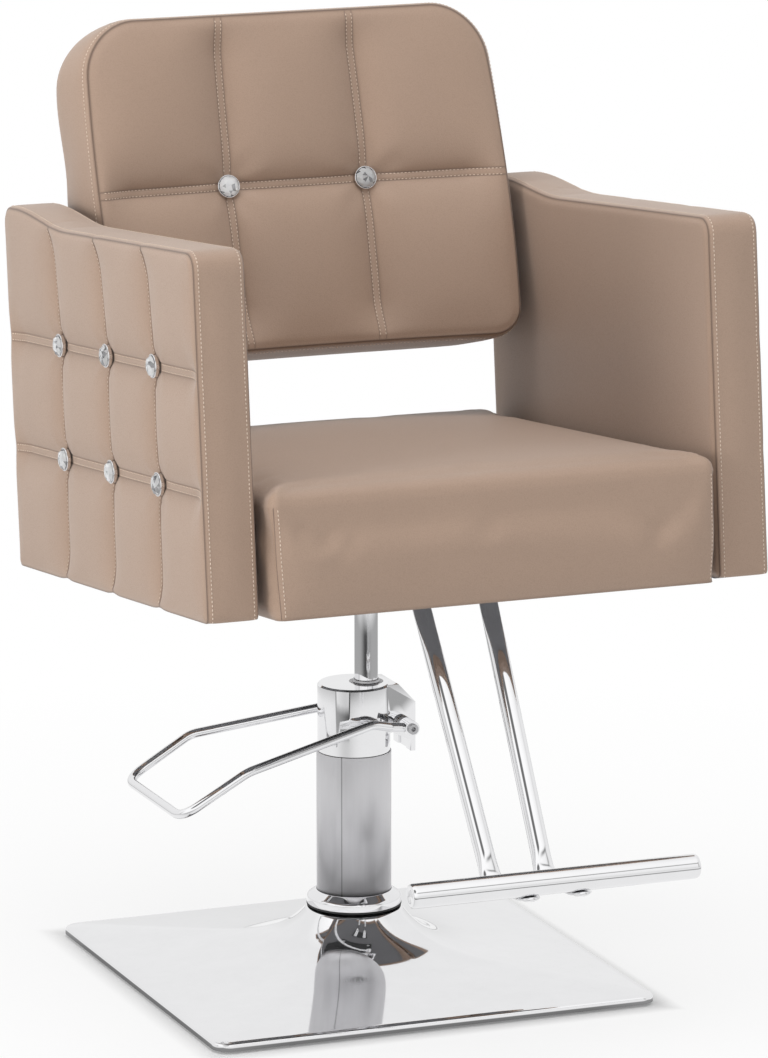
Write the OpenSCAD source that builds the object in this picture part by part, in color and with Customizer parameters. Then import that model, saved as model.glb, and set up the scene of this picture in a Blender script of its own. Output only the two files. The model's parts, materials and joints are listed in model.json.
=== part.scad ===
// Salon styling chair: upholstered seat, box arms and backrest on a hydraulic column.
// Millimetres, +Z up, the sitter faces -Y, origin on the floor under the column.

/* [Base] */
// Side of the square chromed base
base_side = 490; // [470:5:520]
// Height of the base's rolled lip above the floor
lip_top = 11; // [10:0.5:13]
// Corner radius of the base
base_corner = 18; // [12:1:30]
// Height of the neck's top, under the collar
neck_top = 73.5; // [70:0.5:76]
// Radius of the neck's top
neck_r = 49; // [47:0.5:50]
// Height of the clear pads under the base
pad_h = 3; // [2.5:0.5:4]

/* [Column] */
// Outer radius of the collar
collar_r = 50.2; // [48:0.1:54]
// Outer radius of the satin sleeve
sleeve_r = 39.6; // [39.2:0.1:40]
// Height of the sleeve's top, where the pump head starts
sleeve_top = 241; // [238:1:243]
// Height of the pump head's top
head_top = 314; // [312:1:318]
// Radius of the pump head
head_r = 38.5; // [38:0.1:39]
// Radius of the ram's rod
ram_r = 12.3; // [12:0.1:12.5]
// How far the ram stands from the column's centre, along X
ram_x = 14; // [13:0.5:14.5]

/* [Pedal] */
// Centre of the pedal's cross shaft along X
shaft_x = 46; // [45:0.5:47]
// Height of the cross shaft
shaft_z = 271; // [270:0.5:272]
// Radius of the pedal's bent rod
pedal_r = 5; // [4.5:0.1:5]
// How far the pedal reaches from the column's centre
pedal_reach = 224; // [200:1:235]

/* [Seat] */
// Backward tilt of the seat in degrees
seat_tilt = 6.1; // [5:0.1:7]
// Height of the seat's underside at the ram
seat_z = 438; // [436:1:440]
// Half width of the cushion at its top
seat_half_top = 243.5; // [241:0.5:244]
// Half width of the cushion at its bottom
seat_half_bottom = 236; // [234:0.5:238]
// Front of the cushion ahead of the ram
seat_front = 372; // [366:1:376]
// Back of the cushion behind the ram
seat_back = 226; // [222:1:228]
// Height of the cushion at its edges
seat_h = 130; // [126:1:134]
// Extra height of the cushion's crown
seat_crown = 9; // [5:1:12]

/* [Arms] */
// Half of the distance between the arms
arm_inner = 248; // [247:0.5:250]
// Thickness of an arm
arm_t = 58.5; // [57:0.5:62]
// Front of the arms ahead of the ram
arm_front = 350; // [346:1:352]
// Back of the arms behind the ram
arm_back = 237; // [236:1:239]
// Height of the arms at the front
arm_h = 370.5; // [368:0.5:374]
// Extra height of the arms at the back
arm_rise = 16; // [10:1:20]
// Depth of the tufts
tuft = 7; // [4:0.5:8]

/* [Backrest] */
// Half width of the backrest at its widest
back_half = 233.5; // [230:0.5:235]
// Height of its lower front edge above the seat's underside
back_low = 223; // [221:1:225]
// Height of its upper front edge above the seat's underside
back_high = 578; // [570:1:582]
// Depth of its front at the lower edge, behind the ram
back_low_y = 125; // [122:1:128]
// Depth of its front at the upper edge, behind the ram
back_high_y = 189; // [186:1:192]
// How far the lower sides wrap forward
back_wrap = 32; // [20:1:36]
// How far the outline of the front stands forward of the seams
back_rim = 9; // [5:1:12]

/* [Footrest] */
// Half of the footrest bar's length
bar_half = 154; // [140:1:165]
// Radius of the bar
bar_r = 12.5; // [12:0.1:13]
// Radius of the legs
leg_r = 9.5; // [9:0.1:10]

/* [Hidden] */

round_fn = 64;
chrome = "gainsboro";
steel = "silver";
black = "dimgray";
cloth = "gray";
hide = "tan";

// Base and column
shell_t = 2;
plate_low = pad_h;
plate_t = 6;
plate_half = base_side / 2 - shell_t - 0.1;
flange_r = 72;
flange_t = 10;
flange_top = plate_low + plate_t + flange_t;
flange_bolt_ring = 62;
reservoir_r = 37.4;
reservoir_wall = 2.4;
gasket_t = 1.5;
cylinder_r = 20;
cylinder_bore = 16;
valve_top = 38;
cylinder_top = 250;
bush_r = 16;
bush_top = 306;
slide_gap = 0.05;
bolt_r = 4;
bolt_hole = 4.2;
bolt_head_r = 7.5;
bolt_head_h = 5;

// Pump head and pedal
lobe_half = 25;
lobe_x = 60;
lobe_low = 250;
cavity_half = 11;
shaft_r = 5;
boss_r = 8;
boss_in = 33;
boss_out = 52;
pedal_y = 43;
plunger_z = shaft_z + 14;
plunger_r = 5;
rocker_r = 8.8;
finger_x = shaft_x + 2;

// Seat, measured in the seat's own tilted frame
board_low = 10;
board_t = 18;
board_half = 215;
board_front = 345;
board_back = 205;
cover_t = 1;
bracket_t = 5;
bracket_bolts_x = 70;
hub_low = 424;
rod_top = 443;
hub_r = 24;
arm_bolt_rows = [-250, -50, 150];
arm_bolt_z = board_low + board_t / 2;

// Arms
core_in = arm_inner + 3;
core_out = arm_inner + 41;
core_front = arm_front - 18;
core_back = arm_back - 12;
core_low = 3;
core_top = arm_h - 18;
button_cols = [-208, -65, 82];
button_rows = [128.7, 248];
button_r = 12.5;
button_seat = arm_t - 9.5;
seam_lean = 16;

// Backrest
back_plane = 231;
back_flare = 12;
back_rear = arm_back - 1;
back_seam = 396;
back_seam_x = 78;
rail_in = 188;
rail_out = 226;
rail_front = 184;
rail_low = 232;
rail_top = 430;
back_bolt_y = 204;
back_bolt_rows = [262, 325];

// Footrest, in the seat's frame
leg_top_y = -238;
leg_low = [28.8, -389, -271];
foot_half_t = 2.2;
foot_z = -277.1 - foot_half_t;
bar_y = -482.8;
bar_z = -264.6;
foot_end_y = -491;
foot_x = 27.4;
leg_tab_x = 37;

function mix(a, b, t) = a + (b - a) * t;
function smooth(t) = let (c = min(1, max(0, t))) c * c * (3 - 2 * c);
function flat(list) = [for (part = list) for (item = part) item];
function unit(v) = v / norm(v);

module in_seat() {
    translate([ram_x, 0, seat_z]) rotate([-seat_tilt, 0, 0]) children();
}

module both_sides() {
    for (side = [0, 1]) mirror([side, 0, 0]) children();
}

module across(r, low, high, sides = round_fn) {
    translate([low, 0, 0]) rotate([0, 90, 0]) cylinder(r = r, h = high - low, $fn = sides);
}

module ring(r_out, r_in, h) {
    difference() {
        cylinder(r = r_out, h = h, $fn = round_fn);
        translate([0, 0, -1]) cylinder(r = r_in, h = h + 2, $fn = round_fn);
    }
}

module box(low, high) {
    translate(low) cube(high - low);
}

// A closed skin over two grids of points of one size, given as rows.
// Each of the four sides (first column, last column, first row, last row) bows by its own vector.
module pillow(front, back, rows, bows) {
    nv = len(front) - 1;
    nu = len(front[0]) - 1;
    edge = concat([for (i = [0:nu - 1]) [i, 0]], [for (j = [0:nv - 1]) [nu, j]],
        [for (i = [nu:-1:1]) [i, nv]], [for (j = [nv:-1:1]) [0, j]]);
    n_edge = len(edge);
    n_grid = (nu + 1) * (nv + 1);
    function bow(e) = (e[0] == 0 ? bows[0] : e[0] == nu ? bows[1] : [0, 0, 0])
        + (e[1] == 0 ? bows[2] : e[1] == nv ? bows[3] : [0, 0, 0]);
    band = rows < 1 ? [] : flat([for (k = [1:rows]) [for (e = edge) let (t = k / (rows + 1))
        mix(front[e[1]][e[0]], back[e[1]][e[0]], t) + bow(e) * sin(180 * t)]]);
    function at(i, j) = j * (nu + 1) + i;
    function loop_at(k, e) = let (w = edge[e % n_edge]) k == 0 ? at(w[0], w[1])
        : k == rows + 1 ? n_grid + at(w[0], w[1]) : 2 * n_grid + (k - 1) * n_edge + e % n_edge;
    faces_front = flat([for (j = [0:nv - 1]) for (i = [0:nu - 1])
        [[at(i, j), at(i + 1, j + 1), at(i + 1, j)], [at(i, j), at(i, j + 1), at(i + 1, j + 1)]]]);
    faces_back = [for (f = faces_front) [n_grid + f[0], n_grid + f[2], n_grid + f[1]]];
    faces_band = flat([for (k = [0:rows]) for (e = [0:n_edge - 1])
        [[loop_at(k, e), loop_at(k, e + 1), loop_at(k + 1, e + 1)],
         [loop_at(k, e), loop_at(k + 1, e + 1), loop_at(k + 1, e)]]]);
    polyhedron(concat(flat(front), flat(back), band), concat(faces_front, faces_back, faces_band));
}

// A tube swept along a path; each station is [point, half width, half height].
// The width runs along the side direction, which stays fixed for a path in one plane.
module sweep(stations, sides, across_dir) {
    n = len(stations);
    function point(i) = stations[i][0];
    function dir(i) = unit(i == 0 ? point(1) - point(0) : i == n - 1 ? point(n - 1) - point(n - 2)
        : unit(point(i) - point(i - 1)) + unit(point(i + 1) - point(i)));
    function wide(i) = unit(across_dir - dir(i) * (across_dir * dir(i)));
    pts = flat([for (i = [0:n - 1]) let (w = wide(i), h = cross(dir(i), w))
        [for (k = [0:sides - 1]) let (a = 360 * k / sides)
            point(i) + w * cos(a) * stations[i][1] + h * sin(a) * stations[i][2]]]);
    walls = flat([for (i = [0:n - 2]) for (k = [0:sides - 1])
        let (a = i * sides + k, b = i * sides + (k + 1) % sides)
        [[a, b + sides, b], [a, a + sides, b + sides]]]);
    first = [for (k = [0:sides - 1]) k];
    last = [for (k = [sides - 1:-1:0]) (n - 1) * sides + k];
    polyhedron(pts, concat(walls, fan(first), fan(last)));
}

function fan(loop) = [for (k = [1:len(loop) - 2]) [loop[0], loop[k], loop[k + 1]]];

// Points of a path whose inner corners are rounded, as [point] lists.
function bend(a, b, c, r, steps) = let (u = unit(a - b), v = unit(c - b),
    half = acos(u * v) / 2, cut = r / tan(half), p = b + u * cut, q = b + v * cut)
    [for (k = [0:steps]) let (t = k / steps) mix(mix(p, b, t), mix(b, q, t), t)];

// Base

ring_n = 56;

// One ring of the base: a circle at the neck that turns into a rounded square at the rim.
function square_point(k) = let (quarter = floor(k / 14), step = k % 14,
    r = base_corner / (base_side / 2),
    p = step < 8 ? [1, mix(-(1 - r), 1 - r, step / 8)]
        : [1 - r + r * cos(90 * (step - 8) / 6), 1 - r + r * sin(90 * (step - 8) / 6)],
    c = [1, 0, -1, 0][quarter], s = [0, 1, 0, -1][quarter])
    [p[0] * c - p[1] * s, p[0] * s + p[1] * c];

function base_ring(size, z, square) = [for (k = [0:ring_n - 1]) let (q = square_point(k),
    p = mix(unit(q), q, square)) [size * p[0], size * p[1], z]];

function base_height(size) = let (t = (base_side / 2 - size) / (base_side / 2 - neck_r))
    lip_top + (neck_top - lip_top) * (0.4 * t + 0.6 * pow(t, 8));

function square_share(size) = pow(max(0, (size - neck_r) / (base_side / 2 - neck_r)), 0.7);

module base_shell() {
    half = base_side / 2;
    slope = [half - 8, 215, 175, 140, 112, 92, 78, 68, 60, 54, neck_r];
    under = [neck_r, 56, 68, 92, 150, half - 8];
    rings = concat(
        [base_ring(half, pad_h, 1), base_ring(half, lip_top - 2.5, 1),
         base_ring(half - 2.5, lip_top, 1)],
        [for (s = slope) base_ring(s, base_height(s), square_share(s))],
        [for (s = under) base_ring(s - shell_t * 0.6, base_height(s) - shell_t, square_share(s))],
        [base_ring(half - shell_t, lip_top - shell_t + 0.05, 1), base_ring(half - shell_t, pad_h, 1)]);
    n = len(rings);
    faces = flat([for (i = [0:n - 1]) for (k = [0:ring_n - 1]) let (a = i * ring_n + k,
        b = i * ring_n + (k + 1) % ring_n, c = ((i + 1) % n) * ring_n + (k + 1) % ring_n,
        d = ((i + 1) % n) * ring_n + k) [[a, c, b], [a, d, c]]]);
    color(chrome) polyhedron(flat(rings), faces);
}

module base_plate() {
    color(steel) difference() {
        translate([-plate_half, -plate_half, plate_low])
            cube([2 * plate_half, 2 * plate_half, plate_t]);
        at_flange_bolts() translate([0, 0, plate_low - 1]) cylinder(r = 5.2, h = 20, $fn = 32);
        for (turn = [0:90:270]) rotate(turn) translate([plate_half, plate_half, 0])
            rotate(45) cube([24, 60, 60], center = true);
    }
}

module at_flange_bolts() {
    for (turn = [45:90:315]) rotate(turn) translate([flange_bolt_ring, 0, 0]) children();
}

module base_pads() {
    color("whitesmoke") {
        cylinder(r = 9, h = pad_h, $fn = 32);
        for (turn = [0:90:270]) rotate(turn) for (y = [-160, 160])
            translate([228, y, 0]) cylinder(r = 9, h = pad_h, $fn = 32);
    }
}

module pump_flange() {
    color(steel) difference() {
        translate([0, 0, plate_low + plate_t]) cylinder(r = flange_r, h = flange_t, $fn = round_fn);
        at_flange_bolts() translate([0, 0, plate_low]) cylinder(r = 5.2, h = 30, $fn = 32);
    }
}

module flange_bolts() {
    color(steel) at_flange_bolts() {
        translate([0, 0, plate_low + 0.5]) cylinder(r = 5, h = flange_top - plate_low - 0.5, $fn = 32);
        translate([0, 0, flange_top]) cylinder(r = 8.5, h = 6.4, $fn = 6);
    }
}

// Column

module collar_gasket() {
    color(black) translate([0, 0, neck_top]) ring(collar_r + 0.2, sleeve_r + 0.4, gasket_t);
}

module column_collar() {
    low = neck_top + gasket_t;
    color(chrome) rotate_extrude($fn = round_fn) polygon([[sleeve_r + 0.2, low], [collar_r - 0.6, low],
        [collar_r, low + 0.6], [collar_r, low + 7.5], [collar_r - 1.2, low + 9.2],
        [sleeve_r + 2.4, low + 14.4], [sleeve_r + 1.4, low + 15], [sleeve_r + 0.2, low + 15]]);
}

module column_sleeve() {
    color(steel) translate([0, 0, neck_top + gasket_t])
        ring(sleeve_r, reservoir_r + 0.1, sleeve_top - neck_top - gasket_t);
}

module oil_reservoir() {
    color(steel) translate([0, 0, flange_top])
        ring(reservoir_r, reservoir_r - reservoir_wall, sleeve_top - flange_top - 0.2);
}

module valve_block() {
    color(steel) difference() {
        translate([0, 0, flange_top]) cylinder(r = reservoir_r - reservoir_wall - 0.1,
            h = valve_top - flange_top, $fn = round_fn);
        translate([ram_x, 0, valve_top - 12]) cylinder(r = 6, h = 20, $fn = 32);
    }
}

module main_cylinder() {
    color(steel) translate([ram_x, 0, valve_top])
        ring(cylinder_r, cylinder_bore, cylinder_top - valve_top - 0.2);
}

module pump_head() {
    color(chrome) difference() {
        union() {
            translate([0, 0, sleeve_top]) rotate_extrude($fn = round_fn) polygon([[0, 0],
                [head_r - 0.5, 0], [head_r, 0.5], [head_r, head_top - sleeve_top - 2],
                [head_r - 2, head_top - sleeve_top], [0, head_top - sleeve_top]]);
            translate([0, 0, sleeve_top - 8])
                cylinder(r = reservoir_r - reservoir_wall - 0.1, h = 9, $fn = round_fn);
            translate([0, lobe_half, 0]) rotate([90, 0, 0]) linear_extrude(2 * lobe_half)
                polygon([[0, lobe_low], [34, lobe_low + 12], [lobe_x - 5, lobe_low + 2],
                    [lobe_x - 5, 240], [lobe_x, 240], [lobe_x, head_top - 21],
                    [lobe_x - 19, head_top - 0.5], [0, head_top - 0.5]]);
        }
        translate([ram_x, 0, sleeve_top - 9]) cylinder(r = cylinder_r + 0.05,
            h = cylinder_top - sleeve_top + 9, $fn = round_fn);
        translate([ram_x, 0, cylinder_top - 1]) cylinder(r = bush_r + 0.05, h = 80, $fn = round_fn);
        translate([ram_x, 0, bush_top]) cylinder(r = 17.05, h = 40, $fn = round_fn);
        translate([shaft_x, 30, shaft_z]) rotate([90, 0, 0])
            cylinder(r = 8.05, h = 60, $fn = round_fn);
        translate([shaft_x, cavity_half, shaft_z]) rotate([90, 0, 0])
            cylinder(r = 10.6, h = 2 * cavity_half, $fn = round_fn);
        box([shaft_x - 5, -cavity_half, 230], [lobe_x - 3.2, cavity_half, shaft_z]);
        box([shaft_x - 5, -cavity_half, shaft_z - 1], [lobe_x - 3.2, cavity_half, shaft_z + 22]);
        translate([31.2, 0, plunger_z]) rotate([0, 90, 0])
            cylinder(r = plunger_r + slide_gap, h = 20, $fn = round_fn);
    }
}

module guide_bush() {
    color("goldenrod") translate([ram_x, 0, cylinder_top])
        ring(bush_r, ram_r + slide_gap, bush_top - cylinder_top);
}

module wiper_seal() {
    color(black) translate([ram_x, 0, bush_top]) rotate_extrude($fn = round_fn)
        polygon([[ram_r + 0.08, 0], [17, 0], [17, head_top - bush_top], [15, head_top - bush_top + 0.2],
            [14.2, head_top - bush_top + 3], [ram_r + 0.08, head_top - bush_top + 3]]);
}

module along_y(r, low, high, sides = round_fn) {
    translate([shaft_x, high, shaft_z]) rotate([90, 0, 0]) cylinder(r = r, h = high - low, $fn = sides);
}

module shaft_bushes() {
    color("goldenrod") for (side = [0, 1]) mirror([0, side, 0]) difference() {
        along_y(8, cavity_half, lobe_half);
        along_y(shaft_r + slide_gap, 0, lobe_half + 5);
    }
}

// Pedal

module pump_plunger() {
    color(steel) translate([0, 0, plunger_z]) {
        across(plunger_r, 37, 44.5);
        across(2.5, 44, finger_x - 0.05);
    }
}

module pedal_shaft() {
    color(chrome) along_y(shaft_r, -boss_out + 6, boss_out - 6);
}

module pump_rocker() {
    color(steel) difference() {
        union() {
            along_y(rocker_r, -8, 8);
            box([finger_x, -5, shaft_z], [finger_x + 6, 5, shaft_z + 19]);
        }
        along_y(shaft_r + 0.02, -20, 20);
    }
}

module pedal_bosses() {
    color(chrome) for (side = [0, 1]) mirror([0, side, 0]) difference() {
        along_y(boss_r, boss_in, boss_out);
        along_y(shaft_r + 0.02, 0, boss_out - 5.9);
        along_y(3.05, 0, boss_out + 1);
        translate([shaft_x - 12, pedal_y, shaft_z]) rotate([0, 90, 0])
            cylinder(r = pedal_r + 0.06, h = 6.9, $fn = round_fn);
    }
}

module pedal_screws() {
    color(steel) for (side = [0, 1]) mirror([0, side, 0]) difference() {
        union() {
            along_y(3, boss_out - 5.8, boss_out);
            along_y(5.6, boss_out, boss_out + 3);
        }
        along_y(2.6, boss_out - 2, boss_out + 4, 6);
    }
}

// The loop: straight out of each boss, splayed down to a kink, then a drop to the rounded end.
function pedal_half() = let (a = [shaft_x - 5.3, pedal_y, shaft_z], b = [24, pedal_y + 1, shaft_z + 2],
    c = [2, pedal_y + 7, shaft_z + 8], d = [-152, 87, 251], e = [-pedal_reach, 84, 209],
    f = [-pedal_reach, -84, 209])
    concat([a, [shaft_x - 12, pedal_y, shaft_z]], bend(a, b, c, 12, 3), bend(b, c, d, 30, 5),
        bend(c, d, e, 34, 5), bend(d, e, f, 20, 8));

module pedal_rod() {
    half = pedal_half();
    other = [for (k = [len(half) - 1:-1:0]) [half[k][0], -half[k][1], half[k][2]]];
    path = concat(half, other);
    color(chrome) sweep([for (p = path) [p, pedal_r, pedal_r]], 16, [0.33, 0, 1]);
}

// Torsion spring around the shaft, between the lobe and the near boss.
spring_turns = 2.5;
spring_rings = 8;
spring_wire = 0.8;
spring_pitch = (boss_in - lobe_half - 2 * spring_wire - 0.4) / spring_turns;
spring_coil = [for (k = [0:spring_turns * spring_rings]) let (a = 360 * k / spring_rings)
    [shaft_x + (shaft_r + 2.2) * cos(a), -boss_in + spring_wire + spring_pitch * k / spring_rings,
        shaft_z + (shaft_r + 2.2) * sin(a)]];

module pedal_spring() {
    gaps = [for (i = [0:len(spring_coil) - spring_rings]) for (j = [i + spring_rings - 1:len(spring_coil) - 1])
        norm(spring_coil[j] - spring_coil[i]) - 2 * spring_wire];
    echo(least_gap = min(gaps));
    color(steel) sweep([for (p = spring_coil) [p, spring_wire, spring_wire]], 6, [0, 1, 0]);
}

// Ram

module ram_head() {
    color(steel) translate([ram_x, 0, 152]) difference() {
        cylinder(r = cylinder_bore - slide_gap, h = 20, $fn = round_fn);
        translate([0, 0, -1]) cylinder(r = 8 + slide_gap, h = 30, $fn = round_fn);
        translate([0, 0, 7]) ring(20, 13, 5);
    }
}

module ram_seal() {
    color(black) translate([ram_x, 0, 159.1]) ring(cylinder_bore - 0.02, 13.05, 4.8);
}

module thrust_washer() {
    color("goldenrod") translate([ram_x, 0, 172]) ring(14, 8 + slide_gap, 2);
}

module ram_rod() {
    color(chrome) translate([ram_x, 0, 0]) {
        translate([0, 0, 145]) cylinder(r = 8, h = 40, $fn = round_fn);
        translate([0, 0, 174.1]) cylinder(r = ram_r, h = rod_top - 174.1, $fn = round_fn);
    }
}

module ram_nut() {
    color(steel) translate([ram_x, 0, 145.4]) difference() {
        cylinder(r = 12.5, h = 6.5, $fn = 6);
        translate([0, 0, -1]) cylinder(r = 8.02, h = 12, $fn = round_fn);
    }
}

// Seat

module at_bracket_bolts() {
    for (x = [-bracket_bolts_x, bracket_bolts_x]) for (y = [-80, 65])
        translate([x, y, 0]) children();
}

module seat_bracket() {
    low = board_low - cover_t - bracket_t;
    color("dimgray") difference() {
        union() {
            in_seat() box([-90, -100, low], [90, 85, low + bracket_t]);
            translate([ram_x, 0, hub_low]) cylinder(r = hub_r, h = 40, $fn = round_fn);
            in_seat() for (turn = [0:90:270]) rotate(turn) translate([0, 2.5, 0]) rotate([90, 0, 0])
                linear_extrude(5) polygon([[20, low + 1], [70, low + 1], [70, low - 2], [20, -16]]);
        }
        translate([ram_x, 0, hub_low - 5])
            cylinder(r = ram_r + 0.02, h = rod_top + 5.1 - hub_low, $fn = round_fn);
        in_seat() box([-200, -200, low + bracket_t], [200, 200, 100]);
        in_seat() at_bracket_bolts() translate([0, 0, -10]) cylinder(r = bolt_hole, h = 40, $fn = 32);
        translate([ram_x, 0, hub_low + 8]) rotate([-90, 0, 0]) cylinder(r = 3.05, h = 60, $fn = 32);
    }
}

module hub_screw() {
    color(steel) translate([ram_x, ram_r + 0.1, hub_low + 8]) rotate([-90, 0, 0]) difference() {
        cylinder(r = 3, h = hub_r - ram_r - 1.5, $fn = 32);
        translate([0, 0, hub_r - ram_r - 4]) cylinder(r = 1.7, h = 6, $fn = 6);
    }
}

module hex_bolt_up(top) {
    low = board_low - cover_t - bracket_t;
    translate([0, 0, low - bolt_head_h]) cylinder(r = bolt_head_r, h = bolt_head_h, $fn = 6);
    translate([0, 0, low]) cylinder(r = bolt_r, h = top - low, $fn = 32);
}

module bracket_bolts() {
    color(steel) in_seat() at_bracket_bolts() hex_bolt_up(board_low + 16);
}

module at_plate_bolts() {
    for (x = [-leg_tab_x, leg_tab_x]) for (y = [-212, -186]) translate([x, y, 0]) children();
}

module at_arm_bolts() {
    for (y = arm_bolt_rows) translate([0, y, arm_bolt_z]) children();
}

module seat_board() {
    color("burlywood") in_seat() difference() {
        box([-board_half, -board_front, board_low], [board_half, board_back, board_low + board_t]);
        at_bracket_bolts() translate([0, 0, board_low - 1]) cylinder(r = bolt_hole, h = 17.5, $fn = 32);
        at_plate_bolts() translate([0, 0, board_low - 1]) cylinder(r = bolt_hole, h = 17.5, $fn = 32);
        both_sides() at_arm_bolts() across(bolt_hole, 164, 230, 32);
    }
}

module underside_cover() {
    color(cloth) in_seat() difference() {
        box([-board_half + 1, -board_front + 1, board_low - cover_t],
            [board_half - 1, board_back - 1, board_low]);
        at_bracket_bolts() cylinder(r = bolt_hole, h = 20, $fn = 32);
        at_plate_bolts() cylinder(r = bolt_hole, h = 20, $fn = 32);
    }
}

// Grid lines: close together near both ends, even between them.
function knots(low, high, edge, n) = concat([low, low + edge * 0.3], [for (k = [0:n])
    mix(low + edge, high - edge, k / n)], [high - edge * 0.3, high]);

// Pulls a point of the outline's corner onto an arc of radius r.
function corner(p, q, low_p, high_p, low_q, high_q, r_low, r_high) =
    let (r = q < (low_q + high_q) / 2 ? r_low : r_high,
        cp = min(max(p, low_p + r), high_p - r), cq = min(max(q, low_q + r), high_q - r),
        d = norm([p - cp, q - cq]), m = max(abs(p - cp), abs(q - cq)))
    d < 0.001 || abs(p - cp) < 0.001 || abs(q - cq) < 0.001 ? [p, q]
        : [cp + (p - cp) * m / d, cq + (q - cq) * m / d];

// How far the rounded edge of a face lies behind it, at a distance m inside the outline.
function edge_drop(m, r) = m >= r ? 0 : r - sqrt(max(0, r * r - (r - m) * (r - m)));

// The cushion: flat underneath, sides drawn in, top crowned and rounded at its edges.
module seat_cushion() {
    xs = knots(-1, 1, 0.07, 14);
    ys = knots(-seat_front, seat_back, 16, 14);
    nu = len(xs) - 1;
    nv = len(ys) - 1;
    function top(i, j) = let (p = corner(xs[i] * seat_half_top, ys[j], -seat_half_top, seat_half_top,
        -seat_front, seat_back, 12, 20),
        m = min(seat_half_top * (1 - abs(xs[i])), ys[j] + seat_front, seat_back - ys[j]),
        crown = seat_crown * (1 - pow(xs[i], 2)) * (1 - pow((2 * ys[j] + seat_front - seat_back)
            / (seat_front + seat_back), 4)))
        [p[0], p[1], seat_h + crown - edge_drop(m, 14)];
    function under(i, j) = let (p = corner(xs[i] * seat_half_bottom, ys[j] * 0.99, -seat_half_bottom,
        seat_half_bottom, -seat_front * 0.99, seat_back * 0.99, 10, 16)) [p[0], p[1], 0];
    color(hide) in_seat() difference() {
        pillow([for (j = [0:nv]) [for (i = [0:nu]) top(i, j)]],
            [for (j = [0:nv]) [for (i = [0:nu]) under(i, j)]], 2,
            [[4, 0, 0], [-4, 0, 0], [0, -3, 0], [0, 0, 0]]);
        box([-board_half - 0.1, -board_front - 0.1, -1],
            [board_half + 0.1, board_back + 0.1, board_low + board_t]);
        both_sides() at_arm_bolts() across(8.2, 210, 260, 16);
    }
}

// Arms

function arm_top(y) = arm_h + arm_rise * smooth((y - 40) / 165);

module arm_cores() {
    color("burlywood") in_seat() both_sides() difference() {
        box([core_in, -core_front, core_low], [core_out, core_back, core_top]);
        box([core_in - 1, -core_front + 40, 60], [core_out + 1, -40, core_top - 40]);
        box([core_in - 1, 0, 60], [core_out + 1, 160, core_top - 40]);
        at_arm_bolts() {
            across(bolt_hole, core_in - 5, core_out + 5, 32);
            across(bolt_head_r + 1, core_out - 8, core_out + 5, 32);
        }
        at_back_bolts() {
            across(bolt_hole, core_in - 5, core_out + 5, 32);
            across(bolt_head_r + 1, core_out - 8, core_out + 5, 32);
        }
    }
}

module arm_base_covers() {
    color(cloth) in_seat() both_sides()
        box([core_in + 0.5, -core_front + 0.5, 0.3], [core_out - 0.5, core_back - 0.5, core_low]);
}

// Rows and columns of the arm's outer face, with a grid line on every seam.
function arm_knots_y() = concat([-arm_front, -arm_front + 3.5, -arm_front + 12],
    [for (k = [1:3]) mix(-arm_front + 12, button_cols[0], k / 4)],
    [for (c = [0:1]) for (k = [0:3]) mix(button_cols[c], button_cols[c + 1], k / 4)],
    [for (k = [0:3]) mix(button_cols[2], arm_back - 12, k / 4)], [arm_back - 12, arm_back - 3.5, arm_back]);

function arm_knots_z() = concat([0, 3.5, 10], [for (k = [1:3]) mix(10, button_rows[0], k / 4)],
    [for (k = [0:3]) mix(button_rows[0], button_rows[1], k / 4)],
    [for (k = [0:3]) mix(button_rows[1], arm_h - 12, k / 4)], [arm_h - 12, arm_h - 3.5, arm_h]);

// How far between two seams a place is, as a hump from 0 on the seams to 1 between them.
function hump(v, lines) = max([for (k = [0:len(lines) - 2]) v >= lines[k] && v <= lines[k + 1]
    ? pow(sin(180 * (v - lines[k]) / (lines[k + 1] - lines[k])), 0.6) : 0]);

module arm_pad() {
    ys = arm_knots_y();
    zs = arm_knots_z();
    nu = len(ys) - 1;
    nv = len(zs) - 1;
    seams_y = concat([-arm_front - 30], button_cols, [arm_back + 30]);
    seams_z = concat([-30], button_rows, [arm_h + 30]);
    function place(i, j) = let (over = max(0, (zs[j] - button_rows[1]) / (arm_h - button_rows[1])),
        lean = seam_lean * over * over * sin(180 * i / nu),
        p = corner(ys[i], zs[j], -arm_front, arm_back, 0, arm_h, 8, 17),
        up = p[1] + (arm_top(p[0]) - arm_h) * over) [p[0] + lean, up];
    function inset(i, j) = min(ys[i] + arm_front, arm_back - ys[i], zs[j], arm_h - zs[j]);
    function outer(i, j) = let (p = place(i, j), swell = sqrt(hump(ys[i], seams_y) * hump(zs[j], seams_z)))
        [arm_inner + arm_t - tuft * (1 - swell) * smooth(inset(i, j) / 12)
            - edge_drop(inset(i, j), 8), p[0], p[1]];
    function inner(i, j) = let (p = place(i, j)) [arm_inner + edge_drop(inset(i, j), 5), p[0], p[1]];
    difference() {
        pillow([for (j = [0:nv]) [for (i = [0:nu]) outer(i, j)]],
            [for (j = [0:nv]) [for (i = [0:nu]) inner(i, j)]], 0,
            [for (side = [0:3]) [0, 0, 0]]);
        box([core_in - 0.05, -core_front - 0.05, -1], [core_out + 0.05, core_back + 0.05, core_top + 0.05]);
        for (y = button_cols) for (z = button_rows) translate([0, y, z])
            across(button_r + 0.2, arm_inner + button_seat, arm_inner + arm_t + 5, 20);
        at_arm_bolts() across(bolt_hole + 0.2, arm_inner - 5, core_in + 5, 12);
        at_back_bolts() across(bolt_hole + 0.2, arm_inner - 5, core_in + 5, 12);
    }
}

// The sitter's right arm lies at -X and the left arm at +X.
module left_arm_pad() {
    color(hide) in_seat() arm_pad();
}

module right_arm_pad() {
    color(hide) in_seat() mirror([1, 0, 0]) arm_pad();
}

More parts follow.
